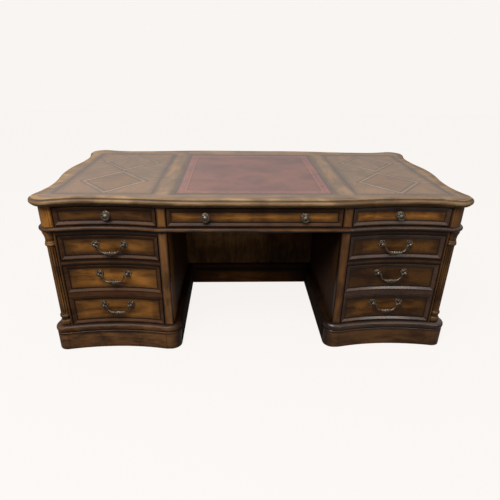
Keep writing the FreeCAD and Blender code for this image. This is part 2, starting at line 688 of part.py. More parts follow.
def disc_stack(profile):
    """Turned piece on the column's axis from (height, radius) points."""
    points = [Vector(COLUMN_X, -COLUMN_Y, profile[0][0])]
    points += [Vector(COLUMN_X + radius, -COLUMN_Y, z) for z, radius in profile]
    points += [Vector(COLUMN_X, -COLUMN_Y, profile[-1][0])]
    face = Part.Face(Part.makePolygon(points + points[:1]))
    return face.revolve(points[0], UP, 360)


def corner_column():
    """Turned column: base, rings, fluted shaft, ring, neck and a capital that flares to the waist."""
    shaft_z = PLINTH_TOP + BASE_HEIGHT + BASE_NECK_HEIGHT + BASE_RING_HEIGHT
    capital_z = PEDESTAL_TOP - CAPITAL_HEIGHT
    shaft_top = capital_z - NECK_HEIGHT - RING_HEIGHT
    base_top = PLINTH_TOP + BASE_HEIGHT
    base = disc_stack([(PLINTH_TOP, RING_R), (PLINTH_TOP + BASE_HEIGHT / 2, RING_R), (base_top, NECK_R),
                       (base_top + BASE_NECK_HEIGHT / 2, NECK_R - 1),
                       (base_top + BASE_NECK_HEIGHT, NECK_R),
                       (base_top + BASE_NECK_HEIGHT + BASE_RING_HEIGHT / 4, RING_R - 1),
                       (shaft_z - BASE_RING_HEIGHT / 4, RING_R - 1), (shaft_z, NECK_R)])
    head = disc_stack([(shaft_top, NECK_R), (shaft_top + RING_HEIGHT / 4, RING_R),
                       (shaft_top + RING_HEIGHT * 3 / 4, RING_R), (shaft_top + RING_HEIGHT, NECK_R),
                       (capital_z, NECK_R), (capital_z + CAPITAL_HEIGHT / 2, NECK_R + 2),
                       (PEDESTAL_TOP - CAPITAL_HEIGHT / 5, CAPITAL_R), (PEDESTAL_TOP, CAPITAL_R)])
    shaft = Part.makeCylinder(SHAFT_R, shaft_top - shaft_z, Vector(COLUMN_X, -COLUMN_Y, shaft_z))
    for flute in range(FLUTE_COUNT):
        turn = 2 * math.pi * flute / FLUTE_COUNT
        place = Vector(COLUMN_X + SHAFT_R * math.cos(turn), SHAFT_R * math.sin(turn) - COLUMN_Y, shaft_z)
        shaft = shaft.cut(Part.makeCylinder(FLUTE_R, shaft_top - shaft_z, place))
    return base.fuse(shaft).fuse(head)


def pedestal_boards():
    """The plain boards of the right pedestal, by name."""
    top_z = PEDESTAL_TOP - PEDESTAL_BOARD_THICKNESS
    lap = INNER_BACK
    panel = band(PANEL_SET_IN, FRAME_THICKNESS, PLINTH_TOP, PEDESTAL_TOP)
    side_window = block(0, CASE_HALF_WIDTH, -POST_Y, POST_Y, PLINTH_TOP, PEDESTAL_TOP)
    back_window = block(KNEE_HALF, POST_X, 0, CASE_HALF_DEPTH, PLINTH_TOP, PEDESTAL_TOP)
    stile_window = block(KNEE_HALF, STILE_X, -CASE_HALF_DEPTH, 0, PLINTH_TOP, PEDESTAL_TOP)
    stile = band(0, FRAME_THICKNESS, PLINTH_TOP, PEDESTAL_TOP).common(stile_window)
    inner = block(KNEE_HALF, KNEE_HALF + SIDE_THICKNESS, -lap, lap, PLINTH_TOP, PEDESTAL_TOP)
    room = slab(case_outline, FRAME_THICKNESS, top_z, PEDESTAL_TOP)
    top = room.common(block(KNEE_HALF + SIDE_THICKNESS, POST_X, -lap, lap, top_z, PEDESTAL_TOP))
    base = slab(pedestal_outline, PLINTH_LAP, PLINTH_TOP - PEDESTAL_BOARD_THICKNESS, PLINTH_TOP)
    rails = [strip(swept_front, STILE_X, POST_X, RAIL_Z, RAIL_Z + DRAWER_RAIL, 0, FRAME_THICKNESS),
             strip(swept_front, STILE_X, POST_X, TOP_RAIL_Z, PEDESTAL_TOP, 0, FRAME_THICKNESS)]
    corner_post = pedestal_corner_post()
    return {
        "pedestal_outer_sides": [panel.common(side_window)],
        "pedestal_inner_sides": [inner],
        "pedestal_back_panels": [panel.common(back_window)],
        "pedestal_stiles": [stile],
        "pedestal_rails": rails,
        "pedestal_corner_posts": [corner_post, mirror_y(corner_post)],
        "pedestal_top_boards": [drilled(top)],
        "pedestal_base_boards": [base],
    }


def plinth_skirts():
    ring = slab(pedestal_outline, -SKIRT_PROUD, 0, SKIRT_HEIGHT)
    ring = ring.cut(slab(pedestal_outline, PLINTH_LAP, 0, SKIRT_HEIGHT))
    return both_sides(mitred_round_pedestal(ring, 0, SKIRT_HEIGHT))


def plinth_profile():
    """Bead, torus and a small fillet, from the top of the skirt to the foot of the case."""
    bead_top = SKIRT_HEIGHT + PLINTH_BEAD_HEIGHT
    torus_top = PLINTH_TOP - PLINTH_FILLET_HEIGHT
    points = roll(SKIRT_HEIGHT, bead_top, SKIRT_PROUD - PLINTH_BEAD_BULGE, PLINTH_BEAD_BULGE)
    points += roll(bead_top + PLINTH_FILLET_HEIGHT, torus_top, PLINTH_TORUS_LAND, PLINTH_TORUS_BULGE)
    return points + [(-PLINTH_FILLET_PROUD, PLINTH_TOP)]


def plinth_mouldings():
    ring = moulded_ring(pedestal_outline, plinth_profile(), PLINTH_LAP)
    return both_sides(mitred_round_pedestal(ring, SKIRT_HEIGHT, PLINTH_TOP))


def modesty_plinth(ends):
    """Skirt and moulding across the kneehole, alike on both faces, scribed to the pedestals' plinths."""
    half_panel = MODESTY_THICKNESS / 2
    outer = half_panel + MODESTY_SKIRT_PROUD
    offset = half_panel + MODESTY_SKIRT_PROUD - SKIRT_PROUD
    front = [(outer, 0), (outer, SKIRT_HEIGHT)] + [(offset - inset, z) for inset, z in plinth_profile()]
    section = [(MODESTY_Y - out, z) for out, z in front]
    section += [(MODESTY_Y + out, z) for out, z in reversed(front)]
    corners = [Vector(-KNEE_LINE, y, z) for y, z in section]
    beam = Part.Face(Part.makePolygon(corners + corners[:1])).extrude(RIGHT * (2 * KNEE_LINE))
    for end in ends:
        beam = beam.cut(end)
    return [beam]


def bolt_places():
    xs = (KNEE_HALF + SIDE_THICKNESS + BOLT_INSET, POST_X - BOLT_INSET)
    return [Vector(x, y, 0) for x in xs for y in (-BOLT_FROM_MIDDLE, BOLT_FROM_MIDDLE)]


def drilled(board):
    """Clearance holes for the bolts."""
    z0 = PEDESTAL_TOP - PEDESTAL_BOARD_THICKNESS
    z1 = PEDESTAL_TOP + BOLT_REACH + BOLT_CLEARANCE
    for place in bolt_places():
        hole = Part.makeCylinder(BOLT_R + BOLT_CLEARANCE, z1 - z0, place + UP * z0)
        board = board.cut(hole)
    return board


def top_section_bolts():
    seat = PEDESTAL_TOP - PEDESTAL_BOARD_THICKNESS
    bolts = []
    for place in bolt_places():
        shank = Part.makeCylinder(BOLT_R, PEDESTAL_TOP + BOLT_REACH - seat, place + UP * seat)
        turns = [2 * math.pi * side / 6 for side in range(6)]
        hexagon = [place + Vector(math.cos(turn), math.sin(turn), 0) * BOLT_HEAD_R for turn in turns]
        bolts.append(shank.fuse(prism(hexagon, seat - BOLT_HEAD_HEIGHT, seat)))
    return both_sides(bolts)


def frieze_boards():
    """The boards of the top section under the top, by name."""
    panel = band(PANEL_SET_IN, FRAME_THICKNESS, WAIST_TOP, TOP_Z)
    end_window = block(0, CASE_HALF_WIDTH, -POST_Y, POST_Y, WAIST_TOP, TOP_Z)
    back_window = block(-POST_X, POST_X, 0, CASE_HALF_DEPTH, WAIST_TOP, TOP_Z)
    frame = band(0, FRAME_THICKNESS, WAIST_TOP, TOP_Z)
    rail_window = block(-POST_X, POST_X, -CASE_HALF_DEPTH, 0, FRIEZE_RAIL_Z, TOP_Z)
    stile_window = block(KNEE_HALF, STILE_X, -CASE_HALF_DEPTH, 0, WAIST_TOP, FRIEZE_RAIL_Z)
    partition = block(PARTITION_X0, PARTITION_X1, -INNER_BACK, INNER_BACK, WAIST_TOP, TOP_Z)
    dust = slab(case_outline, WAIST_LAP, PEDESTAL_TOP, WAIST_TOP)
    return {
        "frieze_end_panels": both_sides([panel.common(end_window)]),
        "frieze_back_panel": [panel.common(back_window)],
        "frieze_top_rail": [frame.common(rail_window)],
        "frieze_stiles": both_sides([frame.common(stile_window)]),
        "frieze_partitions": both_sides([partition]),
        "frieze_dust_board": [mirror_x(drilled(mirror_x(drilled(dust))))],
    }


def frieze_drawer_guides():
    """Strips on the dust board that keep the frieze drawers straight."""
    z1 = WAIST_TOP + GUIDE_HEIGHT
    y0 = -POST_Y
    y1 = FRIEZE_DRAWER_LENGTH - CASE_HALF_DEPTH
    edges = (CENTRE_BOX_HALF + GUIDE_CLEARANCE, FRIEZE_X0 - GUIDE_CLEARANCE - GUIDE_WIDTH,
             FRIEZE_X1 + GUIDE_CLEARANCE)
    return both_sides([block(x0, x0 + GUIDE_WIDTH, y0, y1, WAIST_TOP, z1) for x0 in edges])


def waist_moulding():
    profile = roll(PEDESTAL_TOP, WAIST_TOP, WAIST_LAND, WAIST_BULGE)
    ring = moulded_ring(case_outline, profile, WAIST_LAP)
    return mitred_round_desk(ring, CASE, PEDESTAL_TOP, WAIST_TOP)


def turned(profile, x, y, z):
    """Small turned piece that points to the front, from (distance out, radius) points."""
    points = [Vector(x, y - profile[0][0], z)]
    points += [Vector(x + radius, y - out, z) for out, radius in profile]
    points += [Vector(x, y - profile[-1][0], z)]
    face = Part.Face(Part.makePolygon(points + points[:1]))
    return face.revolve(points[0], BACK, 360)


def knob(x, field_y, z, seat):
    """Domed knob on a small rose, seated on the field of its drawer."""
    shares = [(0.07, 0.7), (0.17, 0.45), (0.37, 0.4), (0.5, 0.92), (0.63, 1.0), (0.77, 0.9), (0.93, 0.5),
              (1.0, 0.3)]
    profile = [(-SEAT_SINK, KNOB_R * shares[0][1])]
    profile += [(KNOB_PROJECTION * out, KNOB_R * radius) for out, radius in shares]
    return turned(profile, x, field_y, z).cut(seat)


def rosette(x, z, seat):
    """Domed rosette on the hollow field, with a post drilled across for the bail's pin."""
    field_y = front_y(x, FIELD_RECESS)
    tip = field_y - PULL_AXIS_Y + POST_PAST_PIN
    profile = [(-SEAT_SINK, ROSETTE_R), (ROSETTE_RIM, ROSETTE_R), (ROSETTE_DOME, ROSETTE_R * 0.65),
               (ROSETTE_DOME, POST_R), (tip - POST_R / 2, POST_R), (tip, POST_R / 2)]
    post = turned(profile, x, field_y, z)
    bore = Part.makeCylinder(BAIL_PIN_R + BAIL_PIN_CLEARANCE, ROSETTE_SPACING,
                             Vector(x - ROSETTE_SPACING / 2, PULL_AXIS_Y, z), RIGHT)
    return post.cut(bore).cut(seat)


def bail_side():
    """Half of the bail's line from the pin's end to the middle: across, down, wire radius."""
    half = ROSETTE_SPACING / 2
    inside = half - POST_R - BAIL_WIRE_R
    return [(half + POST_R - 1, 0, BAIL_PIN_R), (inside, 0, BAIL_PIN_R),
            (inside - BAIL_DROP * 0.1, BAIL_DROP * 0.14, BAIL_WIRE_R),
            (inside - BAIL_DROP * 0.17, BAIL_DROP * 0.46, BAIL_WIRE_R),
            (inside - BAIL_DROP * 0.36, BAIL_DROP * 0.75, BAIL_WIRE_R),
            (inside - BAIL_DROP * 0.68, BAIL_DROP * 0.93, BAIL_WIRE_R),
            (inside * 0.2, BAIL_DROP, BAIL_SWELL_R)]


def bail(x, axis_y, z):
    """Swinging handle: a loft through eight-sided sections, with its swell in the middle."""
    half = bail_side()
    line = half + [(-across, down, radius) for across, down, radius in reversed(half)]
    sections = []
    for index, (across, down, radius) in enumerate(line):
        before = line[max(index - 1, 0)]
        after = line[min(index + 1, len(line) - 1)]
        run = Vector(after[0] - before[0], 0, before[1] - after[1]).normalize()
        side = BACK.cross(run)
        ring = []
        for step in range(BAIL_SIDES):
            turn = 2 * math.pi * (step + 0.5) / BAIL_SIDES
            ring.append(Vector(x + across, axis_y, z - down) + side * (radius * math.cos(turn))
                        + BACK * (radius * math.sin(turn)))
        sections.append(Part.makePolygon(ring + ring[:1]))
    return Part.makeLoft(sections, True, True)


def save(node, shapes):
    """Write one node: every shape's solids, kept apart."""
    solids = [solid for shape in shapes for solid in shape.Solids]
    Part.makeCompound(solids).exportStep("parts/" + node + ".step")


BOX_PANELS = [(BOX_Z, BOX_TOP)]
FILE_PANELS = [(FILE_Z, FALSE_RAIL_Z), (FILE_UPPER_Z, FILE_TOP)]
FRIEZE_PANELS = [(FRIEZE_Z, FRIEZE_FRONT_TOP)]
FIELD_Y = front_y(FRONT_MIDDLE, FIELD_RECESS)
PULL_AXIS_Y = FIELD_Y - BAIL_STANDOFF
BOX_PULL_Z = BOX_TOP - PULL_FROM_TOP
FILE_PULL_ZS = [FALSE_RAIL_Z - PULL_FROM_TOP, FILE_TOP - PULL_FROM_TOP]
FRIEZE_KNOB_Z = (FRIEZE_Z + FRIEZE_FRONT_TOP) / 2


def pull_rosettes(zs, seat):
    half = ROSETTE_SPACING / 2
    return [rosette(FRONT_MIDDLE + side * half, z, seat) for z in zs for side in (-1, 1)]


def pedestal_drawers():
    """Right-hand drawers with their pulls, by name without the side."""
    box_front = framed_front(swept_front, front_y, FRONT_X0, FRONT_X1, BOX_PANELS)
    file_front = framed_front(swept_front, front_y, FRONT_X0, FRONT_X1, FILE_PANELS)
    return {
        "box_drawer_front": box_front,
        "box_drawer_box": drawer_box(BOX_X0, BOX_X1, PEDESTAL_DRAWER_LENGTH, BOX_DRAWER_Z, BOX_DRAWER_HEIGHT),
        "box_drawer_slides": slide_pair(slide_bar, BOX_SLIDE_Z),
        "box_drawer_rosettes": pull_rosettes([BOX_PULL_Z], box_front[0]),
        "box_drawer_bail": [bail(FRONT_MIDDLE, PULL_AXIS_Y, BOX_PULL_Z)],
        "file_drawer_front": file_front,
        "file_drawer_box": drawer_box(BOX_X0, BOX_X1, PEDESTAL_DRAWER_LENGTH, FILE_DRAWER_Z,
                                      FILE_DRAWER_HEIGHT),
        "file_drawer_slides": slide_pair(slide_bar, FILE_SLIDE_Z),
        "file_drawer_rosettes": pull_rosettes(FILE_PULL_ZS, file_front[0]),
        "file_drawer_lower_bail": [bail(FRONT_MIDDLE, PULL_AXIS_Y, FILE_PULL_ZS[0])],
        "file_drawer_upper_bail": [bail(FRONT_MIDDLE, PULL_AXIS_Y, FILE_PULL_ZS[1])],
    }


def frieze_side_drawer():
    """Right-hand frieze drawer, by name without the side."""
    front = framed_front(swept_front, front_y, FRONT_X0, FRONT_X1, FRIEZE_PANELS)
    return {
        "frieze_drawer_front": front,
        "frieze_drawer_box": drawer_box(FRIEZE_X0, FRIEZE_X1, FRIEZE_DRAWER_LENGTH, WAIST_TOP,
                                        FRIEZE_BOX_HEIGHT),
        "frieze_drawer_knob": [knob(FRONT_MIDDLE, FIELD_Y, FRIEZE_KNOB_Z, front[0])],
    }


def centre_drawer():
    front = framed_front(straight_front, middle_y, -CENTRE_HALF, CENTRE_HALF, FRIEZE_PANELS)
    field_y = middle_y(0, FIELD_RECESS)
    knobs = [knob(x, field_y, FRIEZE_KNOB_Z, front[0]) for x in (-CENTRE_KNOB_X, CENTRE_KNOB_X)]
    return {
        "centre_drawer_front": front,
        "centre_drawer_box": drawer_box(-CENTRE_BOX_HALF, CENTRE_BOX_HALF, FRIEZE_DRAWER_LENGTH, WAIST_TOP,
                                        FRIEZE_BOX_HEIGHT),
        "centre_drawer_knobs": knobs,
    }


def case_pieces():
    """Everything that stands still, by name."""
    skirts = plinth_skirts()
    mouldings = plinth_mouldings()
    pieces = {
        "top_board": top_board(),
        "top_edge_moulding": top_edge_moulding(),
        "leather_inset": leather_inset(),
        "parquetry_panels": parquetry_panels(),
        "frieze_corner_posts": frieze_corner_posts(),
        "frieze_drawer_guides": frieze_drawer_guides(),
        "waist_moulding": waist_moulding(),
        "pedestal_columns": all_corners([corner_column()]),
        "plinth_skirts": skirts,
        "plinth_mouldings": mouldings,
        "modesty_panel": [block(-KNEE_HALF, KNEE_HALF, MODESTY_Y - MODESTY_THICKNESS / 2,
                                MODESTY_Y + MODESTY_THICKNESS / 2, PLINTH_TOP, PEDESTAL_TOP)],
        "modesty_plinth": modesty_plinth(skirts + mouldings),
        "slide_packers": both_sides(slide_packers()),
        "slide_channels": both_sides(slide_pair(slide_channel, BOX_SLIDE_Z)
                                     + slide_pair(slide_channel, FILE_SLIDE_Z)),
        "top_section_bolts": top_section_bolts(),
    }
    pieces.update(frieze_boards())
    for name, shapes in pedestal_boards().items():
        pieces[name] = both_sides(shapes)
    return pieces


def all_pieces():
    pieces = case_pieces()
    pieces.update(centre_drawer())
    one_side = pedestal_drawers()
    one_side.update(frieze_side_drawer())
    for name, shapes in one_side.items():
        pieces["right_" + name] = shapes
        pieces["left_" + name] = [mirror_x(shape) for shape in shapes]
    return pieces


os.makedirs("parts", exist_ok=True)
for node, shapes in all_pieces().items():
    save(node, shapes)
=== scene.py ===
"""Executive desk with a leather and parquetry top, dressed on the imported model's frame."""
import math
import bmesh
import bpy
from mathutils import Matrix, Vector


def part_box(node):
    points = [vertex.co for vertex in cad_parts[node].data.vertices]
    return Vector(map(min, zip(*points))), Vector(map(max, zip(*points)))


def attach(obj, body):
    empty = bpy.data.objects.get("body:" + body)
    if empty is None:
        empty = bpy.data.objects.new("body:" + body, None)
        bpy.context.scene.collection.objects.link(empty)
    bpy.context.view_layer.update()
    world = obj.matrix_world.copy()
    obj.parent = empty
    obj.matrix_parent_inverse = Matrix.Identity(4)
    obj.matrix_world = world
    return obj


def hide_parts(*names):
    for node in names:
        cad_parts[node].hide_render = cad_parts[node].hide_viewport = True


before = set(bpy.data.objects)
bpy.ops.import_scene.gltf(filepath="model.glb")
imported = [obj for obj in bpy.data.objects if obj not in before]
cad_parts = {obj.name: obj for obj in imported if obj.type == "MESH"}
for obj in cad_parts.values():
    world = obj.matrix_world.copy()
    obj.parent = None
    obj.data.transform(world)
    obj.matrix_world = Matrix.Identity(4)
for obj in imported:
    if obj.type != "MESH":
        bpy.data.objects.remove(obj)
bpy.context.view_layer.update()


# The top is one thick board faced in brown veneer: short rails run front to back beside the leather
# and long rails close it at the front and back. Polish has darkened it along every inlay, and painted
# shade darkens its front strip.
def tone(red, green, blue):
    """A colour in screen levels from 0 to 255, turned into the light that the shaders add up."""
    levels = [part / 255 for part in (red, green, blue)]
    return tuple(v / 12.92 if v <= 0.04045 else ((v + 0.055) / 1.055) ** 2.4 for v in levels) + (1.0,)


class Shade:
    """One socket of a node tree. Sums and products on it add the Math nodes that work them out."""

    def __init__(self, tree, socket):
        self.tree = tree
        self.socket = socket

    def node(self, kind, settings, inputs, output=0):
        made = self.tree.nodes.new(kind)
        for name, value in settings.items():
            setattr(made, name, value)
        for name, value in inputs.items():
            if isinstance(value, Shade):
                self.tree.links.new(value.socket, made.inputs[name])
            else:
                made.inputs[name].default_value = value
        return Shade(self.tree, made.outputs[output])

    def feed(self, receiver, name):
        self.tree.links.new(self.socket, receiver.inputs[name])

    def math(self, operation, *others):
        return self.node("ShaderNodeMath", {"operation": operation}, dict(enumerate((self,) + others)))

    def __add__(self, other):
        return self.math("ADD", other)

    __radd__ = __add__

    def __sub__(self, other):
        return self.math("SUBTRACT", other)

    def __rsub__(self, other):
        return self.math("MULTIPLY_ADD", -1.0, other)

    def __mul__(self, other):
        return self.math("MULTIPLY", other)

    __rmul__ = __mul__

    def __truediv__(self, other):
        return self.math("DIVIDE", other)

    def __rtruediv__(self, other):
        return self.math("POWER", -1.0) * other

    def __abs__(self):
        return self.math("ABSOLUTE")

    def least(self, other):
        return self.math("MINIMUM", other)

    def most(self, other):
        return self.math("MAXIMUM", other)

    def ramp(self, start, end, low=0.0, high=1.0):
        inputs = {"Value": self, "From Min": start, "From Max": end, "To Min": low, "To Max": high}
        return self.node("ShaderNodeMapRange", {"interpolation_type": "SMOOTHSTEP"}, inputs)

    def colour(self, first, second):
        """The first colour where this is 0, the second where it is 1."""
        return self.node("ShaderNodeMix", {"data_type": "RGBA"}, {0: self, 6: first, 7: second}, 2)

    def between(self, first, second):
        """The first vector where this is 0, the second where it is 1."""
        return self.node("ShaderNodeMix", {"data_type": "VECTOR"}, {0: self, 4: first, 5: second}, 1)

    def axes(self):
        parts = self.node("ShaderNodeSeparateXYZ", {}, {"Vector": self})
        return [Shade(self.tree, out) for out in parts.socket.node.outputs]

    def stretched(self, scale, turn=0.0):
        inputs = {"Vector": self, "Scale": scale, "Rotation": (0.0, 0.0, turn)}
        return self.node("ShaderNodeMapping", {}, inputs)

    def noise(self, scale, detail=3.0, distortion=0.0):
        inputs = {"Vector": self, "Scale": scale, "Detail": detail, "Distortion": distortion}
        return self.node("ShaderNodeTexNoise", {}, inputs)


def new_finish(name):
    """An empty finish: the material, its shader and the place on the piece."""
    material = bpy.data.materials.new(name)
    material.use_nodes = True
    tree = material.node_tree
    shader = tree.nodes["Principled BSDF"]
    place = Shade(tree, tree.nodes.new("ShaderNodeTexCoord").outputs["Object"])
    return material, shader, place


# How much finer the figure is across the grain than along it, for each way that a board can lie.
GRAIN = {"x": (1.0, 7.0, 7.0), "y": (7.0, 1.0, 7.0), "z": (7.0, 7.0, 1.0)}
UMBER = tone(26, 13, 6)


def wood_layers(shader, place, grain, dark, light, dirt_and_shade_mask, polish, coat, shine):
    """Stained and varnished wood on one shader: cloudy figure, streaks and pores along the grain."""
    clouds = place.noise(9.0, 3.0, 0.6)
    figure = grain.noise(3.4, 4.0, 1.4)
    streaks = grain.noise(24.0, 5.0, 0.3)
    pores = grain.stretched((3.0, 7.0, 7.0)).noise(30.0, 2.0)
    depth = clouds * 0.42 + figure * 0.4 + streaks * 0.18
    stain = depth.ramp(0.34, 0.66).colour(dark, light)
    stain = (pores.ramp(0.58, 0.7) * 0.25).colour(stain, UMBER)
    if dirt_and_shade_mask is not None:
        stain = dirt_and_shade_mask.colour(stain, UMBER)
    stain.feed(shader, "Base Color")
    (streaks * 0.2 + clouds * 0.16 + polish).feed(shader, "Roughness")
    relief = pores.ramp(0.5, 0.75, 1.0, 0.0) + streaks * 0.4
    bump = relief.node("ShaderNodeBump", {}, {"Strength": 0.18, "Distance": 0.0005, "Height": relief})
    bump.feed(shader, "Normal")
    shader.inputs["Specular IOR Level"].default_value = shine
    shader.inputs["Coat Weight"].default_value = coat
    shader.inputs["Coat Roughness"].default_value = 0.16


def wood(name, dark, light, along, dirt_and_shade=None, polish=0.16, turn=0.0, coat=0.06, shine=0.3):
    """A wood finish with its grain along one axis, darkened by a mask of where old polish has gathered and
    where shade is painted.

    polish is the least roughness, coat the varnish on top and shine what the wood reflects below it.
    """
    material, shader, place = new_finish(name)
    grain = place.stretched((1.0, 1.0, 1.0), turn).stretched(GRAIN[along])
    dirt_and_shade_mask = dirt_and_shade(place) if dirt_and_shade else None
    wood_layers(shader, place, grain, dark, light, dirt_and_shade_mask, polish, coat, shine)
    return material


def give(finish, *nodes):
    """Puts a finish on CAD nodes that keep their shape."""
    for node in nodes:
        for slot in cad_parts[node].material_slots:
            slot.material = finish


def plan_gap(place, low, high):
    """Distance outside a rectangle seen from above, on both sides of the desk."""
    x, y, z = place.axes()
    across = abs(x) - (low[0] + high[0]) / 2
    along = y - (low[1] + high[1]) / 2
    return (abs(across) - (high[0] - low[0]) / 2).most(abs(along) - (high[1] - low[1]) / 2)


leather_low, leather_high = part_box("leather_inset")
panels_low, panels_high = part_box("parquetry_panels")
LEATHER = ((-leather_high.x, leather_low.y), (leather_high.x, leather_high.y))
PANEL_INNER = 0.451
PARQUETRY = ((PANEL_INNER, panels_low.y), (panels_high.x, panels_high.y))
TOP_DARK = tone(92, 66, 42)
TOP_LIGHT = tone(142, 106, 66)
TOP_POLISH = 0.2
TOP_COAT = 0.5
TOP_SHINE = 0.4
SEAM = 0.0005
LEATHER_BURNISH = (0.046, 0.012)
PARQUETRY_BURNISH = (0.034, 0.0)
FRONT_PAINTED_SHADE = (-0.40, -0.46)


def top_rails():
    """Veneer whose grain turns in the short rails, burnished dark beside the inlays, with painted shade
    along the front.
    """
    material, shader, place = new_finish("top_rail_veneer")
    x, y, z = place.axes()
    half = LEATHER[1][0]
    near, far = LEATHER[0][1], LEATHER[1][1]
    beside = abs(x).ramp(half - SEAM, half + SEAM)
    beside = beside * abs(x).ramp(PANEL_INNER + SEAM, PANEL_INNER - SEAM)
    inside = y.ramp(near - SEAM, near + SEAM) * y.ramp(far + SEAM, far - SEAM)
    rails = beside * inside
    grain = rails.between(place.stretched(GRAIN["x"]), place.stretched(GRAIN["y"]))
    leather_gap = plan_gap(place, *LEATHER)
    parquetry_gap = plan_gap(place, *PARQUETRY)
    burnish = leather_gap.ramp(*LEATHER_BURNISH) * 0.62
    burnish = burnish.most(parquetry_gap.ramp(*PARQUETRY_BURNISH) * 0.6)
    # The front strip of the top is darkened as painted shade.
    dirt_and_shade_mask = burnish.most(y.ramp(*FRONT_PAINTED_SHADE) * 0.36)
    dirt_and_shade_mask = dirt_and_shade_mask + leather_gap.least(parquetry_gap).ramp(0.004, SEAM) * 0.3
    joints = abs(abs(x) - half).least(abs(abs(x) - PANEL_INNER)).ramp(0.0014, 0.0004)
    dirt_and_shade_mask = dirt_and_shade_mask.most(joints * 0.45 * (1.0 - inside))
    wood_layers(shader, place, grain, TOP_DARK, TOP_LIGHT, dirt_and_shade_mask, TOP_POLISH, TOP_COAT, TOP_SHINE)
    return material


give(top_rails(), "top_board")


# The leather writing surface is one hide glued flush into the top. A faded band of stamped lozenges
# and a paler fillet run round it between two tooled lines, and polish has mottled its red.
STAMPED_BAND = (0.005, 0.034)
BAND_FADE = (0.005, 0.010)
STAMP_TURNS = 250.0
FILLET = (0.034, 0.043)
FILLET_FADE = 0.0025
TOOLED_LINES = (0.0055, 0.0455)
EDGE_FADE = 0.005


def writing_leather():
    """Red hide with its tooling as both colour and relief."""
    material, shader, place = new_finish("red_hide")
    x, y, z = place.axes()
    inset = plan_gap(place, *LEATHER) * -1.0
    mottle = place.noise(7.0, 5.0, 0.5)
    hide = mottle.ramp(0.32, 0.68).colour(tone(84, 46, 38), tone(112, 68, 56))
    rub = place.noise(2.2, 2.0).ramp(0.45, 0.7) * 0.5
    hide = rub.colour(hide, tone(112, 78, 62))
    stamp = ((x + y) * STAMP_TURNS).math("SINE") * ((x - y) * STAMP_TURNS).math("SINE")
    band = inset.ramp(STAMPED_BAND[0], STAMPED_BAND[0] + BAND_FADE[0])
    band = band * inset.ramp(STAMPED_BAND[1], STAMPED_BAND[1] - BAND_FADE[1])
    faded = place.noise(45.0, 4.0, 0.8).ramp(0.36, 0.62, 0.2, 1.0)
    hide = (band * stamp.ramp(-0.3, 0.5, 0.3, 0.8) * faded).colour(hide, tone(140, 90, 78))
    fillet = inset.ramp(FILLET[0], FILLET[0] + FILLET_FADE)
    fillet = fillet * inset.ramp(FILLET[1], FILLET[1] - FILLET_FADE)
    hide = (fillet * (faded * 0.5 + 0.4)).colour(hide, tone(146, 82, 72))
    lines = abs(inset - TOOLED_LINES[0]).least(abs(inset - TOOLED_LINES[1])).ramp(0.0022, 0.0008)
    edge = inset.ramp(EDGE_FADE, 0.0)
    marks = lines.most(edge) * 0.55
    hide = marks.colour(hide, tone(40, 16, 12))
    hide.feed(shader, "Base Color")
    pebble = place.noise(900.0, 2.0)
    crease = place.noise(120.0, 4.0, 1.2)
    (mottle * 0.18 + crease * 0.12 + 0.34).feed(shader, "Roughness")
    relief = pebble * 0.5 + crease * 0.5 - marks * 1.4 + band * stamp * 0.5
    bump = relief.node("ShaderNodeBump", {}, {"Strength": 0.35, "Distance": 0.0006, "Height": relief})
    bump.feed(shader, "Normal")
    shader.inputs["Coat Weight"].default_value = 0.45
    shader.inputs["Coat Roughness"].default_value = 0.28
    return material


give(writing_leather(), "leather_inset")


# Each end of the top holds a parquetry panel let into the board: two diamonds in line, banded round
# and joined by tie bars, with turned quarters in the corners. A dark string is glued into every joint.
PANEL_MIDDLE = (PARQUETRY[0][0] + PARQUETRY[1][0]) / 2
SIDE_GAP = 0.055
END_GAP = 0.010
BAND = 0.018
STRING = 0.0015
DIAMOND_WIDE = (PARQUETRY[1][0] - PARQUETRY[0][0]) / 2 - SIDE_GAP
DIAMOND_LONG = (PARQUETRY[1][1] - PARQUETRY[0][1] - 3 * END_GAP) / 4
DIAMOND_YS = (PARQUETRY[0][1] + END_GAP + DIAMOND_LONG, PARQUETRY[1][1] - END_GAP - DIAMOND_LONG)
SLOPE = math.hypot(1 / DIAMOND_WIDE, 1 / DIAMOND_LONG)
BAND_SHARE = BAND * SLOPE


def strings(place):
    """Dark lines along both sides of the banding and of the tie bars, and round the panel."""
    x, y, z = place.axes()
    across = abs(abs(x) - PANEL_MIDDLE)
    along = abs(y - DIAMOND_YS[0]).least(abs(y - DIAMOND_YS[1]))
    share = across / DIAMOND_WIDE + along / DIAMOND_LONG
    off = abs(abs(share - 1.0 + BAND_SHARE / 2) / SLOPE - BAND / 2 - STRING)
    bars = abs(across.least(along) - BAND / 2 - STRING) + share.ramp(1.001, 0.999)
    rim = plan_gap(place, *PARQUETRY) * -1.0
    halo = off.ramp(0.014, 0.0) * 0.2 + rim.ramp(0.035, 0.0) * 0.42
    return halo.most(off.least(rim).least(bars).ramp(0.0036, 0.0012) * 0.85)


# Points this close are joined, edges this short are dropped, and an edge without an angle is sharp.
MERGE = 0.00002
SLIVER = 0.00001
NO_ANGLE = 9.0


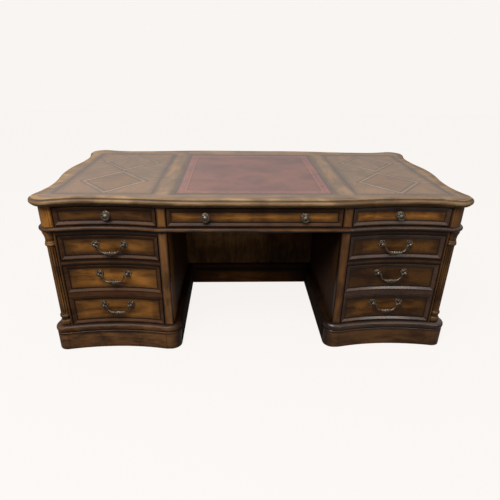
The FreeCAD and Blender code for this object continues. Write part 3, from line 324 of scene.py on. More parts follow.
def skin(node, body, finishes, pick=None, bend=38.0):
    """A copy of a CAD node with its triangles joined, its curves shaded round and finishes by face."""
    work = bmesh.new()
    work.from_mesh(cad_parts[node].data)
    bmesh.ops.remove_doubles(work, verts=work.verts, dist=MERGE)
    bmesh.ops.dissolve_degenerate(work, edges=work.edges, dist=SLIVER)
    for face in work.faces:
        face.smooth = True
        face.material_index = pick(face.calc_center_median(), face.normal) if pick else 0
    for edge in work.edges:
        edge.smooth = len(edge.link_faces) == 2 and edge.calc_face_angle(NO_ANGLE) < math.radians(bend)
    mesh = bpy.data.meshes.new(node + "_skin")
    work.to_mesh(mesh)
    work.free()
    if "custom_normal" in mesh.attributes:
        mesh.attributes.remove(mesh.attributes["custom_normal"])
    for finish in finishes:
        mesh.materials.append(finish)
    piece = bpy.data.objects.new(node + "_skin", mesh)
    bpy.context.scene.collection.objects.link(piece)
    even = piece.modifiers.new("even shading", "WEIGHTED_NORMAL")
    even.keep_sharp = True
    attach(piece, body)
    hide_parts(node)
    return piece


def veneer_leaf(centre, normal):
    """0 and 1 diamond leaves, 2 and 3 bands by their slant, 4 tie bars, 5 to 8 the ground's leaves."""
    middle = min(DIAMOND_YS, key=lambda value: abs(value - centre.y))
    across = abs(centre.x) - PANEL_MIDDLE
    along = centre.y - middle
    share = abs(across) / DIAMOND_WIDE + abs(along) / DIAMOND_LONG
    if share < 1 - BAND_SHARE:
        return 0 if middle < 0 else 1
    if share < 1:
        return 2 if across * along > 0 else 3
    if min(abs(across), abs(along)) < BAND / 2:
        return 4
    at_end = abs(centre.y - sum(DIAMOND_YS) / 2) > DIAMOND_LONG
    return 5 + (1 if across > 0 else 0) + (2 if at_end else 0)


def leaf(name, dark, light, along, turn=0.0):
    return wood(name, dark, light, along, strings, TOP_POLISH, turn, TOP_COAT, TOP_SHINE)


leaves = [leaf("diamond_leaf_near", tone(92, 64, 37), tone(121, 86, 52), "x"),
          leaf("diamond_leaf_far", tone(98, 72, 48), tone(126, 96, 66), "y"),
          leaf("banding_right", tone(126, 99, 71), tone(158, 127, 95), "x", 0.9),
          leaf("banding_left", tone(108, 84, 58), tone(138, 109, 79), "x", -0.9),
          leaf("tie_bars", tone(124, 84, 63), tone(158, 114, 88), "x"),
          leaf("quarter_inner_waist", tone(98, 73, 48), tone(122, 94, 63), "x", 0.5),
          leaf("quarter_outer_waist", tone(100, 74, 48), tone(126, 95, 63), "x", -0.5),
          leaf("quarter_inner_end", tone(104, 74, 46), tone(130, 95, 61), "y", 0.4),
          leaf("quarter_outer_end", tone(104, 74, 46), tone(130, 95, 61), "y", -0.4)]
skin("parquetry_panels", "case", leaves, veneer_leaf)


# The edge of the top is a moulding run in solid wood and mitred round the board: a cove under a full
# round nose, with a quirk cut beside the flat. Its nose is rubbed pale, and painted shade darkens its
# quirk nearly to black, the underside of its nose and its right end.
EDGE_DARK = tone(98, 73, 46)
EDGE_LIGHT = tone(162, 130, 92)
top_low, top_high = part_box("top_edge_moulding")


def edge_painted_shade(place):
    """Painted shade under the nose, in the quirk and towards the right end."""
    x, y, z = place.axes()
    under = z.ramp(top_low.z + 0.008, top_low.z + 0.002) * 0.45
    quirk = z.ramp(top_high.z - 0.0015, top_high.z - 0.0035)
    quirk = quirk * z.ramp(top_high.z - 0.010, top_high.z - 0.0045)
    return under.most(quirk * 0.75).most(x.ramp(0.3, 0.9) * 0.3)


edge_wood = wood("edge_moulding_wood", EDGE_DARK, EDGE_LIGHT, "x", edge_painted_shade,
                 polish=0.3, coat=0.03, shine=0.25)
skin("top_edge_moulding", "case", [edge_wood])


# The frieze is the upper case that holds the three shallow drawers: rounded corner posts, stiles
# and a thin rail at the front, plain ends, and a back panel that follows the hollow of the top.
# The posts on the left take a paler copy of the post wood than those on the right, as painted light.
CASE_DARK = tone(56, 34, 17)
CASE_LIGHT = tone(112, 74, 40)
POST_EDGE = 0.868


def on_right(centre, normal):
    return int(centre.x > 0)


def shaded_edges(low, high, width):
    """Painted shade along the edges of an upright board that faces the front, darkest at the gaps beside
    it.
    """
    def dirt_and_shade(place):
        x, y, z = place.axes()
        across = abs(x)
        gap = (across - low[0]).least(high[0] - across).least((z - low[1]).least(high[1] - z))
        return gap.ramp(width, 0.0) * 0.7 + gap.ramp(0.006, 0.002) * 0.3
    return dirt_and_shade


STILE_INNER = 0.386
stile_low, stile_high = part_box("frieze_stiles")
frieze_stile = wood("frieze_stile_wood", tone(72, 46, 22), tone(140, 94, 48), "z",
                    shaded_edges((STILE_INNER, stile_low.z), (stile_high.x, stile_high.z), 0.012))
upright = wood("upright_wood", CASE_DARK, CASE_LIGHT, "z")


def post_gap_shade(place):
    """Painted shade in the gap between a corner post and the drawers."""
    x, y, z = place.axes()
    return (abs(x) - POST_EDGE).ramp(0.008, 0.002) * 0.85


post_wood = wood("post_wood", CASE_DARK, CASE_LIGHT, "z", post_gap_shade)
# A paler copy of the post wood for the left posts, as painted light.
pale_post = wood("pale_post_wood", tone(104, 64, 26), tone(172, 114, 50), "z", post_gap_shade)
level = wood("rail_wood", CASE_DARK, CASE_LIGHT, "x")
end_wood = wood("end_panel_wood", CASE_DARK, CASE_LIGHT, "y")
inner = wood("plain_inner_wood", tone(104, 72, 44), tone(150, 112, 74), "y", polish=0.45)
give(frieze_stile, "frieze_stiles")
give(level, "frieze_top_rail")
give(inner, "frieze_partitions", "frieze_dust_board", "frieze_drawer_guides")
skin("frieze_corner_posts", "case", [pale_post, post_wood], on_right)
skin("frieze_end_panels", "case", [end_wood])
skin("frieze_back_panel", "case", [level])


# The waist is a bead with a fillet that covers the joint between the frieze and the pedestals. It is
# planted on in mitred lengths right round the desk, and its right end takes a darker, glossier copy of
# its wood, the darkness being painted shade.
waist_low, waist_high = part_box("waist_moulding")
RIGHT_END = 0.40
# Tones of the waist's right end, darkened as painted shade.
RIGHT_DARK = tone(44, 27, 16)
RIGHT_LIGHT = tone(88, 58, 36)
# The frieze drawers run level with the waist's top, so the visible top is kept a hair below them.
DRAWER_ROOM = 0.0004


def on_right_end(centre, normal):
    return int(centre.x > RIGHT_END)


def waist_painted_shade(place):
    """Painted shade under the bead and along the fillet above it."""
    x, y, z = place.axes()
    under = z.ramp(waist_low.z + 0.012, waist_low.z + 0.006)
    return under.most(z.ramp(waist_high.z - 0.009, waist_high.z - 0.003)) * 0.85


waist_wood = wood("waist_wood", CASE_DARK, CASE_LIGHT, "x", waist_painted_shade,
                  polish=0.28, coat=0.03, shine=0.22)
dark_waist = wood("dark_waist_wood", RIGHT_DARK, RIGHT_LIGHT, "x", waist_painted_shade,
                  polish=0.2, coat=0.3, shine=0.4)
waist = skin("waist_moulding", "case", [waist_wood, dark_waist], on_right_end)
for vert in waist.data.vertices:
    vert.co.z = min(vert.co.z, waist_high.z - DRAWER_ROOM)


# Each pedestal is a cabinet of veneered boards: a bowed outer side, a flat side to the kneehole, a
# back panel, and stiles and rails that frame the drawers along the hollow front.
pedestal_low, pedestal_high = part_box("pedestal_stiles")
pedestal_stile_shade = shaded_edges((STILE_INNER, pedestal_low.z), (pedestal_high.x, pedestal_high.z), 0.013)
# The left stiles take paler tones than the right, as painted light.
pedestal_stile_left = wood("left_stile_wood", tone(72, 47, 25), tone(132, 91, 53), "z", pedestal_stile_shade)
pedestal_stile_right = wood("right_stile_wood", CASE_DARK, CASE_LIGHT, "z", pedestal_stile_shade)
skin("pedestal_stiles", "case", [pedestal_stile_left, pedestal_stile_right], on_right)
KNEE_FRONT = (-0.47, -0.30)


def knee_shade(place):
    """Painted shade over the kneehole except at the front of the left side, whose light tones stand as
    painted light.
    """
    x, y, z = place.axes()
    return x.ramp(-0.1, 0.1).most(y.ramp(*KNEE_FRONT)) * 0.9


knee_wood = wood("kneehole_wood", tone(100, 59, 26), tone(164, 104, 50), "z", knee_shade,
                 polish=0.4, coat=0.0, shine=0.1)
give(knee_wood, "pedestal_inner_sides")
give(inner, "pedestal_top_boards", "slide_packers")
skin("pedestal_outer_sides", "case", [upright])
skin("pedestal_back_panels", "case", [upright])
RAIL_EDGES = (0.447, 0.473, 0.594, 0.614)


def rail_painted_shade(place):
    """Painted shade in the gaps above and below each drawer rail, and under the waist along the top rail.
    """
    x, y, z = place.axes()
    lower = (z - RAIL_EDGES[0]).least(RAIL_EDGES[1] - z)
    upper = (z - RAIL_EDGES[2]).least(RAIL_EDGES[3] - z)
    shade = z.ramp(RAIL_EDGES[3] - 0.014, RAIL_EDGES[3] - 0.008)
    return lower.most(upper).ramp(0.012, 0.005).most(shade) * 0.95


rail_wood = wood("drawer_rail_wood", tone(44, 27, 14), tone(88, 57, 31), "x", rail_painted_shade)
skin("pedestal_rails", "case", [rail_wood])
skin("pedestal_corner_posts", "case", [post_wood])


# A turned column stands free in the notch of each outer corner: base rings, a fluted shaft, a ring
# and a bell capital under the waist. Painted shade darkens the flutes, the necks between rings and
# the right pair.
COLUMN_X = 0.906
COLUMN_Y = 0.444
COLUMN_STEPS = 120
FLUTES = 10
FLUTE_DEPTH = 0.2
# The turned rings from the foot up, as height and radius, and for the shaft the share of fluting too.
BASE_RINGS = [(0.1300, 0.0245), (0.1325, 0.0258), (0.1380, 0.0260), (0.1455, 0.0258), (0.1495, 0.0242),
              (0.1515, 0.0222), (0.1555, 0.0206), (0.1615, 0.0203), (0.1655, 0.0212), (0.1675, 0.0232),
              (0.1710, 0.0248), (0.1755, 0.0250), (0.1800, 0.0242), (0.1825, 0.0222), (0.1840, 0.0206)]
SHAFT_RINGS = [(0.1880, 0.0202, 0.0), (0.1950, 0.0200, 1.0), (0.3000, 0.0200, 1.0),
               (0.4200, 0.0200, 1.0), (0.5290, 0.0200, 1.0), (0.5360, 0.0202, 0.0)]
HEAD_RINGS = [(0.5400, 0.0206), (0.5415, 0.0232), (0.5450, 0.0256), (0.5495, 0.0260), (0.5535, 0.0250),
              (0.5550, 0.0230), (0.5568, 0.0238), (0.5600, 0.0240), (0.5620, 0.0226), (0.5660, 0.0212),
              (0.5700, 0.0211), (0.5800, 0.0218), (0.5900, 0.0236), (0.5980, 0.0262), (0.6040, 0.0284),
              (0.6090, 0.0290), (0.6138, 0.0290)]
SHAFT_LOW = SHAFT_RINGS[0][0]
SHAFT_HIGH = SHAFT_RINGS[-1][0]
SHAFT_FADE = 0.003


def turned_mesh(profile, around, lobes, depth):
    """A turned form that stands on its axis, from (height, radius, carving) rings."""
    work = bmesh.new()
    rings = []
    for height, radius, carving in profile:
        ring = []
        for step in range(around):
            turn = 2 * math.pi * step / around
            reach = radius * (1 - depth * carving * (0.5 - 0.5 * math.cos(lobes * turn)))
            ring.append(work.verts.new((reach * math.cos(turn), reach * math.sin(turn), height)))
        rings.append(ring)
    for before, after in zip(rings, rings[1:]):
        for step in range(around):
            beside = (step + 1) % around
            work.faces.new((before[step], before[beside], after[beside], after[step]))
    work.faces.new(rings[0][::-1])
    work.faces.new(rings[-1])
    bmesh.ops.recalc_face_normals(work, faces=work.faces)
    for face in work.faces:
        face.smooth = len(face.verts) == 4
    mesh = bpy.data.meshes.new("turned")
    work.to_mesh(mesh)
    work.free()
    return mesh


def joined(name, body, finish, meshes, node):
    """One piece from several meshes that are already in place."""
    work = bmesh.new()
    for mesh in meshes:
        work.from_mesh(mesh)
    mesh = bpy.data.meshes.new(name)
    work.to_mesh(mesh)
    work.free()
    mesh.materials.clear()
    mesh.materials.append(finish)
    piece = bpy.data.objects.new(name, mesh)
    bpy.context.scene.collection.objects.link(piece)
    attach(piece, body)
    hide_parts(node)
    return piece


def moved(mesh, x, y, z):
    """A copy of a mesh, shifted."""
    placed = mesh.copy()
    placed.transform(Matrix.Translation((x, y, z)))
    return placed


def flute_painted_shade(place):
    """Painted shade in the flutes and the necks between rings, and over the right pair."""
    x, y, z = place.axes()
    out_x = abs(x) - COLUMN_X
    out_y = abs(y) - COLUMN_Y
    reach = (out_x * out_x + out_y * out_y).math("SQRT")
    shaft = z.ramp(SHAFT_LOW - SHAFT_FADE, SHAFT_LOW) * z.ramp(SHAFT_HIGH + SHAFT_FADE, SHAFT_HIGH)
    flutes = reach.ramp(0.0190, 0.0163) * shaft
    necks = reach.ramp(0.0225, 0.0208) * (1.0 - shaft)
    return (flutes.most(necks) * 0.75).most(x.ramp(0.0, 0.1) * 0.4)


base = [(height, radius, 0.0) for height, radius in BASE_RINGS]
head = [(height, radius, 0.0) for height, radius in HEAD_RINGS]
column = turned_mesh(base + SHAFT_RINGS + head, COLUMN_STEPS, FLUTES, FLUTE_DEPTH)
columns = [moved(column, x, y, 0.0) for x in (-COLUMN_X, COLUMN_X) for y in (-COLUMN_Y, COLUMN_Y)]
column_wood = wood("column_wood", tone(64, 40, 19), tone(136, 94, 50), "z", flute_painted_shade, polish=0.2)
joined("turned_columns", "case", column_wood, columns, "pedestal_columns")


# The plinth carries each pedestal: a plain skirt bent round the same plan, jointed at its corner
# blocks, and a heavy torus moulding on top. Painted shade blackens it along the kneehole and darkens
# the right moulding.
plinth_low, plinth_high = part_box("plinth_mouldings")
CORNER_BLOCKS = (0.425, 0.893)
KNEEHOLE_EDGE = 0.390
KNEEHOLE_ENDS = (0.510, 0.470)
KNEE_SHADE_END = 0.45


def knee_painted_shade(place):
    """Painted shade that blackens the plinth along the kneehole."""
    x, y, z = place.axes()
    end, within = KNEEHOLE_ENDS
    beside = abs(x).ramp(CORNER_BLOCKS[0], KNEEHOLE_EDGE)
    return beside * y.ramp(-end, -within) * y.ramp(end, within) * 0.9


def to_kneehole(centre, normal):
    """1 for the faces along the kneehole, which take a near-black wood as painted shade."""
    return int(abs(centre.x) < KNEEHOLE_EDGE and abs(centre.y) < KNEE_SHADE_END)


def plinth_side(centre, normal):
    """As to_kneehole, with 2 for the rest of the right plinth, which takes a darker copy of its wood as
    painted shade.
    """
    return to_kneehole(centre, normal) or 2 * on_right(centre, normal)


def torus_painted_shade(place):
    """Painted shade in the quirk under the torus, along its top and beside the kneehole."""
    x, y, z = place.axes()
    quirk = z.ramp(plinth_low.z + 0.012, plinth_low.z + 0.002)
    top = z.ramp(plinth_high.z - 0.008, plinth_high.z)
    return (quirk.most(top) * 0.85).most(knee_painted_shade(place))


def skirt_scuffs_and_shade(place):
    """Scuffs at the foot and dark joints, with painted shade under the torus, beside the kneehole and on
    the right.
    """
    x, y, z = place.axes()
    scuffs = place.noise(30.0, 4.0) * 0.5 + 0.2
    joint_gap = abs(abs(x) - CORNER_BLOCKS[0]).least(abs(abs(x) - CORNER_BLOCKS[1]))
    joints = joint_gap.ramp(0.0022, 0.0008) * 0.7
    foot = (z.ramp(0.022, 0.0) * scuffs).most(z.ramp(plinth_low.z - 0.012, plinth_low.z) * 0.6)
    return foot.most(joints).most(knee_painted_shade(place)).most(x.ramp(0.2, 0.5) * 0.4)


torus_wood = wood("torus_wood", tone(50, 30, 15), tone(114, 77, 42), "x", torus_painted_shade,
                  polish=0.28, coat=0.03, shine=0.2)
# The right torus takes a darker, glossier copy, the darkness being painted shade.
dark_torus = wood("dark_torus_wood", tone(34, 21, 13), tone(70, 46, 30), "x", torus_painted_shade,
                  polish=0.18, coat=0.3, shine=0.4)
# Near-black wood as painted shade, for the kneehole faces of the plinth and the base boards.
shade_wood = wood("painted_shade_wood", tone(20, 11, 6), tone(40, 24, 13), "y", polish=0.5, coat=0.0, shine=0.04)
skirt = wood("skirt_wood", tone(58, 36, 19), tone(126, 86, 50), "x", skirt_scuffs_and_shade)
give(shade_wood, "pedestal_base_boards")
skin("plinth_mouldings", "case", [torus_wood, shade_wood, dark_torus], plinth_side)
skin("plinth_skirts", "case", [skirt, shade_wood], to_kneehole)


# A modesty panel closes the back of the kneehole, a flat veneered board with upright figure between
# the pedestals, and a low plinth runs along its foot. Both darken towards their ends with painted shade.
modesty_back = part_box("modesty_panel")[1].y
MODESTY_ENDS = (0.22, 0.37)
MODESTY_FOOT = (0.36, 0.20)
LOW_PLINTH_ENDS = (0.16, 0.36)
LOW_PLINTH_TOP = (0.066, 0.084)


def modesty_painted_shade(place):
    """Painted shade towards the ends and the foot of the front, and dark all over the back."""
    x, y, z = place.axes()
    back = y.ramp(modesty_back - 0.004, modesty_back - 0.002)
    return abs(x).ramp(*MODESTY_ENDS).most(z.ramp(*MODESTY_FOOT)).most(back) * 0.6


def low_plinth_painted_shade(place):
    """Painted shade towards the ends and along the top."""
    x, y, z = place.axes()
    return abs(x).ramp(*LOW_PLINTH_ENDS).most(z.ramp(*LOW_PLINTH_TOP)) * 0.9


modesty = wood("modesty_veneer", tone(88, 60, 34), tone(172, 124, 78), "z", modesty_painted_shade,
               polish=0.4, coat=0.0, shine=0.1)
give(modesty, "modesty_panel")
low_plinth = wood("low_plinth_wood", tone(66, 39, 17), tone(116, 72, 34), "x", low_plinth_painted_shade,
                  polish=0.4, coat=0.0, shine=0.1)
skin("modesty_plinth", "case", [low_plinth])


# The drawer fronts are boards cut to the hollow of each pedestal, the centre one flat, with an ogee
# moulding mitred round a sunk field of figured veneer. Polish and painted shade darken the field towards
# the moulding and its ends, and painted shade darkens the quirk and the gap round each moulding.
FRONT_BORDER = 0.018
FRONT_RECESS = 0.007
FALSE_RAIL = (0.278, 0.305)
FIELD_DARK = tone(78, 45, 17)
FIELD_LIGHT = tone(172, 114, 50)
MOULDING_DARK = tone(46, 27, 15)
MOULDING_LIGHT = tone(82, 53, 31)
# The hollow of each pedestal front is an arc about this point.
HOLLOW_X = 0.664694
HOLLOW_Y = -1.531228
HOLLOW_R = 1.080
# Share of the stain, coat and shine of the mouldings, which have kept more varnish on the right,
# where their slightly darker stain is painted shade.
LEFT_VARNISH = (1.0, 0.0, 0.2)
RIGHT_VARNISH_AND_SHADE = (0.9, 0.5, 0.45)


def field_y(x):
    """The sunk field of a pedestal drawer, on the hollow of its front."""
    return HOLLOW_Y + math.sqrt((HOLLOW_R + FRONT_RECESS) ** 2 - (abs(x) - HOLLOW_X) ** 2)


def panel_gap(place, sunk):
    """Distance from a point of the front to the edge of the sunk field that it lies in."""
    x, y, z = place.axes()
    gap = None
    for x0, x1, z0, z1 in sunk:
        one = (abs(x) - x0).least(x1 - abs(x)).least((z - z0).least(z1 - z))
        gap = one if gap is None else gap.most(one)
    return gap


def deeper(colour, share):
    """The same stain taken up more or less by another leaf of veneer."""
    return tuple(part * share for part in colour[:3]) + (1.0,)


def front_finishes(name, sunk, share, lower_shade, upper_shade):
    """The moulding's finish and the field's: painted shade in the quirk where they meet and at the
    moulding's outer edge, and polish and painted shade over the field's edges and ends.
    """
    def field_wear_and_shade(place):
        x, y, z = place.axes()
        gap = panel_gap(place, sunk)
        cloud = place.noise(18.0, 3.0) * 0.02
        end_gap = (abs(x) - sunk[0][0]).least(sunk[0][1] - abs(x))
        leaf_shade = z.ramp(FALSE_RAIL[0], FALSE_RAIL[1], lower_shade, upper_shade)
        # Towards the moulding and its ends the field darkens partly as burnished polish and partly as
        # painted shade.
        worn = (gap + cloud).ramp(0.046, 0.010) * 0.74
        ends = (end_gap + cloud).ramp(0.100, 0.015) * 0.6
        return leaf_shade.most(worn).most(ends) + gap.ramp(0.005, 0.001) * 0.25

    def moulding_painted_shade(place):
        # Painted shade in the quirk by the field and in the gap at the moulding's outer edge.
        out = panel_gap(place, sunk) * -1.0
        quirk = out.ramp(0.0035, 0.0015)
        lip = out.ramp(FRONT_BORDER - 0.0034, FRONT_BORDER - 0.0006)
        lip = lip * out.ramp(FRONT_BORDER + 0.0018, FRONT_BORDER + 0.0004)
        return quirk.most(lip) * 0.85

    stain_share, coat, shine = RIGHT_VARNISH_AND_SHADE if name.startswith("right") else LEFT_VARNISH
    moulding_tones = (deeper(MOULDING_DARK, stain_share), deeper(MOULDING_LIGHT, stain_share))
    moulding = wood(name + "_moulding", *moulding_tones, "x", moulding_painted_shade,
                    polish=0.26, coat=coat, shine=shine)
    field_tones = (deeper(FIELD_DARK, share), deeper(FIELD_LIGHT, share))
    field = wood(name + "_field", *field_tones, "x", field_wear_and_shade, polish=0.2)
    return [moulding, field]


# How much stain each front's veneer has taken, and how dark a file front's lower and upper leaf are.
LEAF_SHARES = {"centre": 1.3, "left_frieze": 0.5, "right_frieze": 1.55, "left_box": 0.6,
               "right_box": 0.44, "left_file": 0.96, "right_file": 0.5}
LEAF_SHADES = {"left_file": (0.35, 0.0), "right_file": (0.0, 0.62)}
# The centre field runs on through the middle of the desk, so it has no inner end.
NO_INNER_END = -1.0
FIELD_FACING = -0.8
FIELD_ROOM = 0.0012
FRONT_BEND = 25.0
FRONTS = {"centre_drawer_front": "centre_drawer"}
for side in ("left", "right"):
    FRONTS[side + "_frieze_drawer_front"] = side + "_frieze_drawer"
    FRONTS[side + "_box_drawer_front"] = side + "_box_drawer"
    FRONTS[side + "_file_drawer_front"] = side + "_file_drawer"
for node, body in FRONTS.items():
    low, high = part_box(node)
    heights = [(low.z, high.z)]
    if "file" in node:
        heights = [(low.z, FALSE_RAIL[0]), (FALSE_RAIL[1], high.z)]
    outer_x = max(abs(low.x), abs(high.x)) - FRONT_BORDER
    inner_x = min(abs(low.x), abs(high.x)) + FRONT_BORDER
    if low.x < 0 < high.x:
        inner_x = NO_INNER_END
    sunk = [(inner_x, outer_x, z0 + FRONT_BORDER, z1 - FRONT_BORDER) for z0, z1 in heights]
    drawer = node.replace("_drawer_front", "")
    shades = LEAF_SHADES.get(drawer, (0.0, 0.0))
    finishes = front_finishes(drawer + "_front", sunk, LEAF_SHARES[drawer], *shades)

    def in_field(centre, normal):
        sunk_y = low.y + FRONT_RECESS if drawer == "centre" else field_y(centre.x)
        return int(normal.y < FIELD_FACING and abs(centre.y - sunk_y) < FIELD_ROOM)

    skin(node, body, finishes, in_field, FRONT_BEND)


# The drawer boxes are plain boards of pale wood behind the fronts. The frieze drawers run on guide
# strips and the pedestal drawers on steel slides screwed to packers, all hidden until one is opened.
drawer_wood = wood("drawer_box_wood", tone(150, 112, 70), tone(196, 158, 110), "y", polish=0.4)
for body in FRONTS.values():
    give(drawer_wood, body + "_box")


def slide_steel():
    """Zinc-plated steel, rolled along the slides."""
    material, shader, place = new_finish("zinc_steel")
    rolled = place.stretched((30.0, 1.0, 30.0)).noise(14.0, 3.0)
    rolled.colour(tone(150, 152, 154), tone(196, 198, 200)).feed(shader, "Base Color")
    (rolled * 0.25 + 0.25).feed(shader, "Roughness")
    shader.inputs["Metallic"].default_value = 1.0
    return material


steel = slide_steel()
give(steel, "slide_channels", "top_section_bolts")
for side in ("left", "right"):
    give(steel, side + "_box_drawer_slides", side + "_file_drawer_slides")


# The pulls are cast in brass and patinated to a dark pewter: a beaded rosette on each post, and a bail
# whose swell of seven carved lobes hangs between two slanted arms. The high points are rubbed bright.
def dark_pewter():
    """Cast metal with a dark patina that is rubbed off in specks."""
    material, shader, place = new_finish("antique_pewter")
    cast = place.noise(160.0, 4.0)
    worn = place.noise(420.0, 3.0)
    worn.ramp(0.4, 0.66).colour(tone(50, 43, 36), tone(150, 136, 118)).feed(shader, "Base Color")
    (cast * 0.3 + 0.32).feed(shader, "Roughness")
    bump = cast.node("ShaderNodeBump", {}, {"Strength": 0.3, "Distance": 0.0004, "Height": cast})
    bump.feed(shader, "Normal")
    shader.inputs["Metallic"].default_value = 0.9
    return material


pewter = dark_pewter()


def new_tree(name, sizes):
    """An empty geometry tree with its named inputs: the tree, its input sockets and its end."""
    tree = bpy.data.node_groups.new(name, "GeometryNodeTree")
    face = tree.interface
    face.new_socket("Piece", in_out="INPUT", socket_type="NodeSocketGeometry")
    for label, kind in sizes:
        face.new_socket(label, in_out="INPUT", socket_type=kind)
    face.new_socket("Finish", in_out="INPUT", socket_type="NodeSocketMaterial")
    face.new_socket("Result", in_out="OUTPUT", socket_type="NodeSocketGeometry")
    given = tree.nodes.new("NodeGroupInput")
    sockets = [Shade(tree, out) for out in list(given.outputs)[:len(sizes) + 2]]
    return tree, sockets, tree.nodes.new("NodeGroupOutput")


def end_tree(copies, finish, done):
    """Turns the copies into one mesh with a finish and ends the tree with it."""
    solid = copies.node("GeometryNodeRealizeInstances", {}, {"Geometry": copies})
    painted = solid.node("GeometryNodeSetMaterial", {}, {"Geometry": solid, "Material": finish})
    painted.feed(done, "Result")


def petal_ring_tree():
    """Copies of a petal set round a ring, each turned to point outwards."""
    sizes = [("Count", "NodeSocketInt"), ("Ring radius", "NodeSocketFloat")]
    tree, (petal, count, radius, finish), done = new_tree("petals round a boss", sizes)
    ring = count.node("GeometryNodeMeshCircle", {}, {"Vertices": count, "Radius": radius})
    turn = count.node("GeometryNodeInputIndex", {}, {}) * (2 * math.pi) / count
    rotation = turn.node("ShaderNodeCombineXYZ", {}, {"Z": turn})
    places = {"Points": ring, "Instance": petal, "Rotation": rotation}
    end_tree(ring.node("GeometryNodeInstanceOnPoints", {}, places), finish, done)
    return tree


def bead_row_tree():
    """Copies of a bead in a row that rises and shrinks away from its middle."""
    sizes = [("Count", "NodeSocketInt"), ("Step", "NodeSocketFloat"), ("Rise", "NodeSocketFloat"),
             ("Taper", "NodeSocketFloat")]
    tree, (bead, count, step, rise, taper, finish), done = new_tree("beads on a swell", sizes)
    line = count.node("GeometryNodeMeshLine", {}, {"Count": count})
    off = count.node("GeometryNodeInputIndex", {}, {}) - (count - 1.0) * 0.5
    spot = off.node("ShaderNodeCombineXYZ", {}, {"X": off * step, "Y": off * off * rise})
    row = line.node("GeometryNodeSetPosition", {}, {"Geometry": line, "Position": spot})
    size = 1.0 - abs(off) * taper
    scale = size.node("ShaderNodeCombineXYZ", {}, {"X": size, "Y": size, "Z": size})
    places = {"Points": row, "Instance": bead, "Scale": scale}
    end_tree(row.node("GeometryNodeInstanceOnPoints", {}, places), finish, done)
    return tree


petal_ring = petal_ring_tree()
bead_row = bead_row_tree()


def grown(tree, mesh, values):
    """What a tree makes of a mesh, as a plain mesh that faces the front."""
    carrier = bpy.data.objects.new("carrier", mesh)
    bpy.context.scene.collection.objects.link(carrier)
    modifier = carrier.modifiers.new("repeat", "NODES")
    modifier.node_group = tree
    for item in tree.interface.items_tree:
        if item.in_out == "INPUT" and item.name in values:
            modifier[item.identifier] = values[item.name]
    bpy.context.view_layer.update()
    depsgraph = bpy.context.evaluated_depsgraph_get()
    result = bpy.data.meshes.new_from_object(carrier.evaluated_get(depsgraph))
    bpy.data.objects.remove(carrier)
    return facing_front(result)


def facing_front(mesh):
    """Turns a mesh that stands on its axis so that it points to the front."""
    mesh.transform(Matrix.Rotation(math.radians(90), 4, "X"))
    return mesh


def petal_mesh(length, width, height):
    """One domed petal that points outwards in the plane of its ring."""
    work = bmesh.new()
    bmesh.ops.create_uvsphere(work, u_segments=12, v_segments=8, radius=1.0)
    for vert in work.verts:
        taper = 1.0 + 0.25 * vert.co.x
        vert.co = Vector((vert.co.x * length, vert.co.y * width * taper, vert.co.z * height))
    for face in work.faces:
        face.smooth = True
    mesh = bpy.data.meshes.new("petal")
    work.to_mesh(mesh)
    work.free()
    return mesh


PULL_X = 0.648
PULL_Y = -0.46636
POST_PAST = 0.006
ROSETTE_HALF = 0.064
ROSETTE_R = 0.017
ROSETTE_STEPS = 80
ROSETTE_BEADS = 16
SCALLOP_DEPTH = 0.10
POST_STEPS = 32
BEAD_SIZE = (0.0024, 0.0023, 0.0022)
BEAD_OUT = 0.0042
BEAD_RING = 0.84
# The rings of a rosette, as height, share of its radius and share of scalloping.
ROSETTE_RINGS = [(-0.0006, 0.98, 0.6), (0.0016, 0.995, 0.6), (0.0034, 0.95, 0.6), (0.0046, 0.85, 0.3),
                 (0.0044, 0.74, 0.0), (0.0030, 0.62, 0.0), (0.0034, 0.52, 0.0), (0.0058, 0.4, 0.0)]
# The rings of a post, as height and radius at its foot and as way back from its tip at its head.
POST_FOOT = [(0.0050, 0.0066), (0.0090, 0.0056)]
POST_HEAD = [(0.0110, 0.0062), (0.0085, 0.0082), (0.0045, 0.0086), (0.0016, 0.0070),
             (0.0004, 0.0044), (0.0, 0.0018)]


def rosette_at(x, z):
    """A rosette on the sunk field, with a post through it that ends just past the bail's axis."""
    seat = field_y(x)
    tip = seat - PULL_Y + POST_PAST
    rings = [(out, ROSETTE_R * share, carving) for out, share, carving in ROSETTE_RINGS]
    rosette = turned_mesh(rings, ROSETTE_STEPS, ROSETTE_BEADS, SCALLOP_DEPTH)
    post_rings = POST_FOOT + [(tip - back, radius) for back, radius in POST_HEAD]
    post = turned_mesh([(out, radius, 0.0) for out, radius in post_rings], POST_STEPS, 1, 0.0)
    around = {"Count": ROSETTE_BEADS, "Ring radius": ROSETTE_R * BEAD_RING, "Finish": pewter}
    beads = moved(grown(petal_ring, petal_mesh(*BEAD_SIZE), around), 0.0, -BEAD_OUT, 0.0)
    cast = [facing_front(rosette), facing_front(post), beads]
    return [moved(mesh, x, seat, z) for mesh in cast]


# Half of a bail from its post to its middle, as way across, way down and radius of the rod.
BAIL_LINE = [(0.0695, 0.0, 0.0030), (0.0540, 0.0, 0.0032), (0.0499, 0.0057, 0.0044),
             (0.0470, 0.0189, 0.0040), (0.0392, 0.0308, 0.0042), (0.0261, 0.0381, 0.0050),
             (0.0108, 0.0410, 0.0062)]
ROD_SCALE = 1000
SWELL_DROP = 0.0408
LOBE_SIZE = (0.0068, 0.0128, 0.0092)
LOBE_ROW = {"Count": 7, "Step": 0.0078, "Rise": 0.00034, "Taper": 0.12, "Finish": pewter}


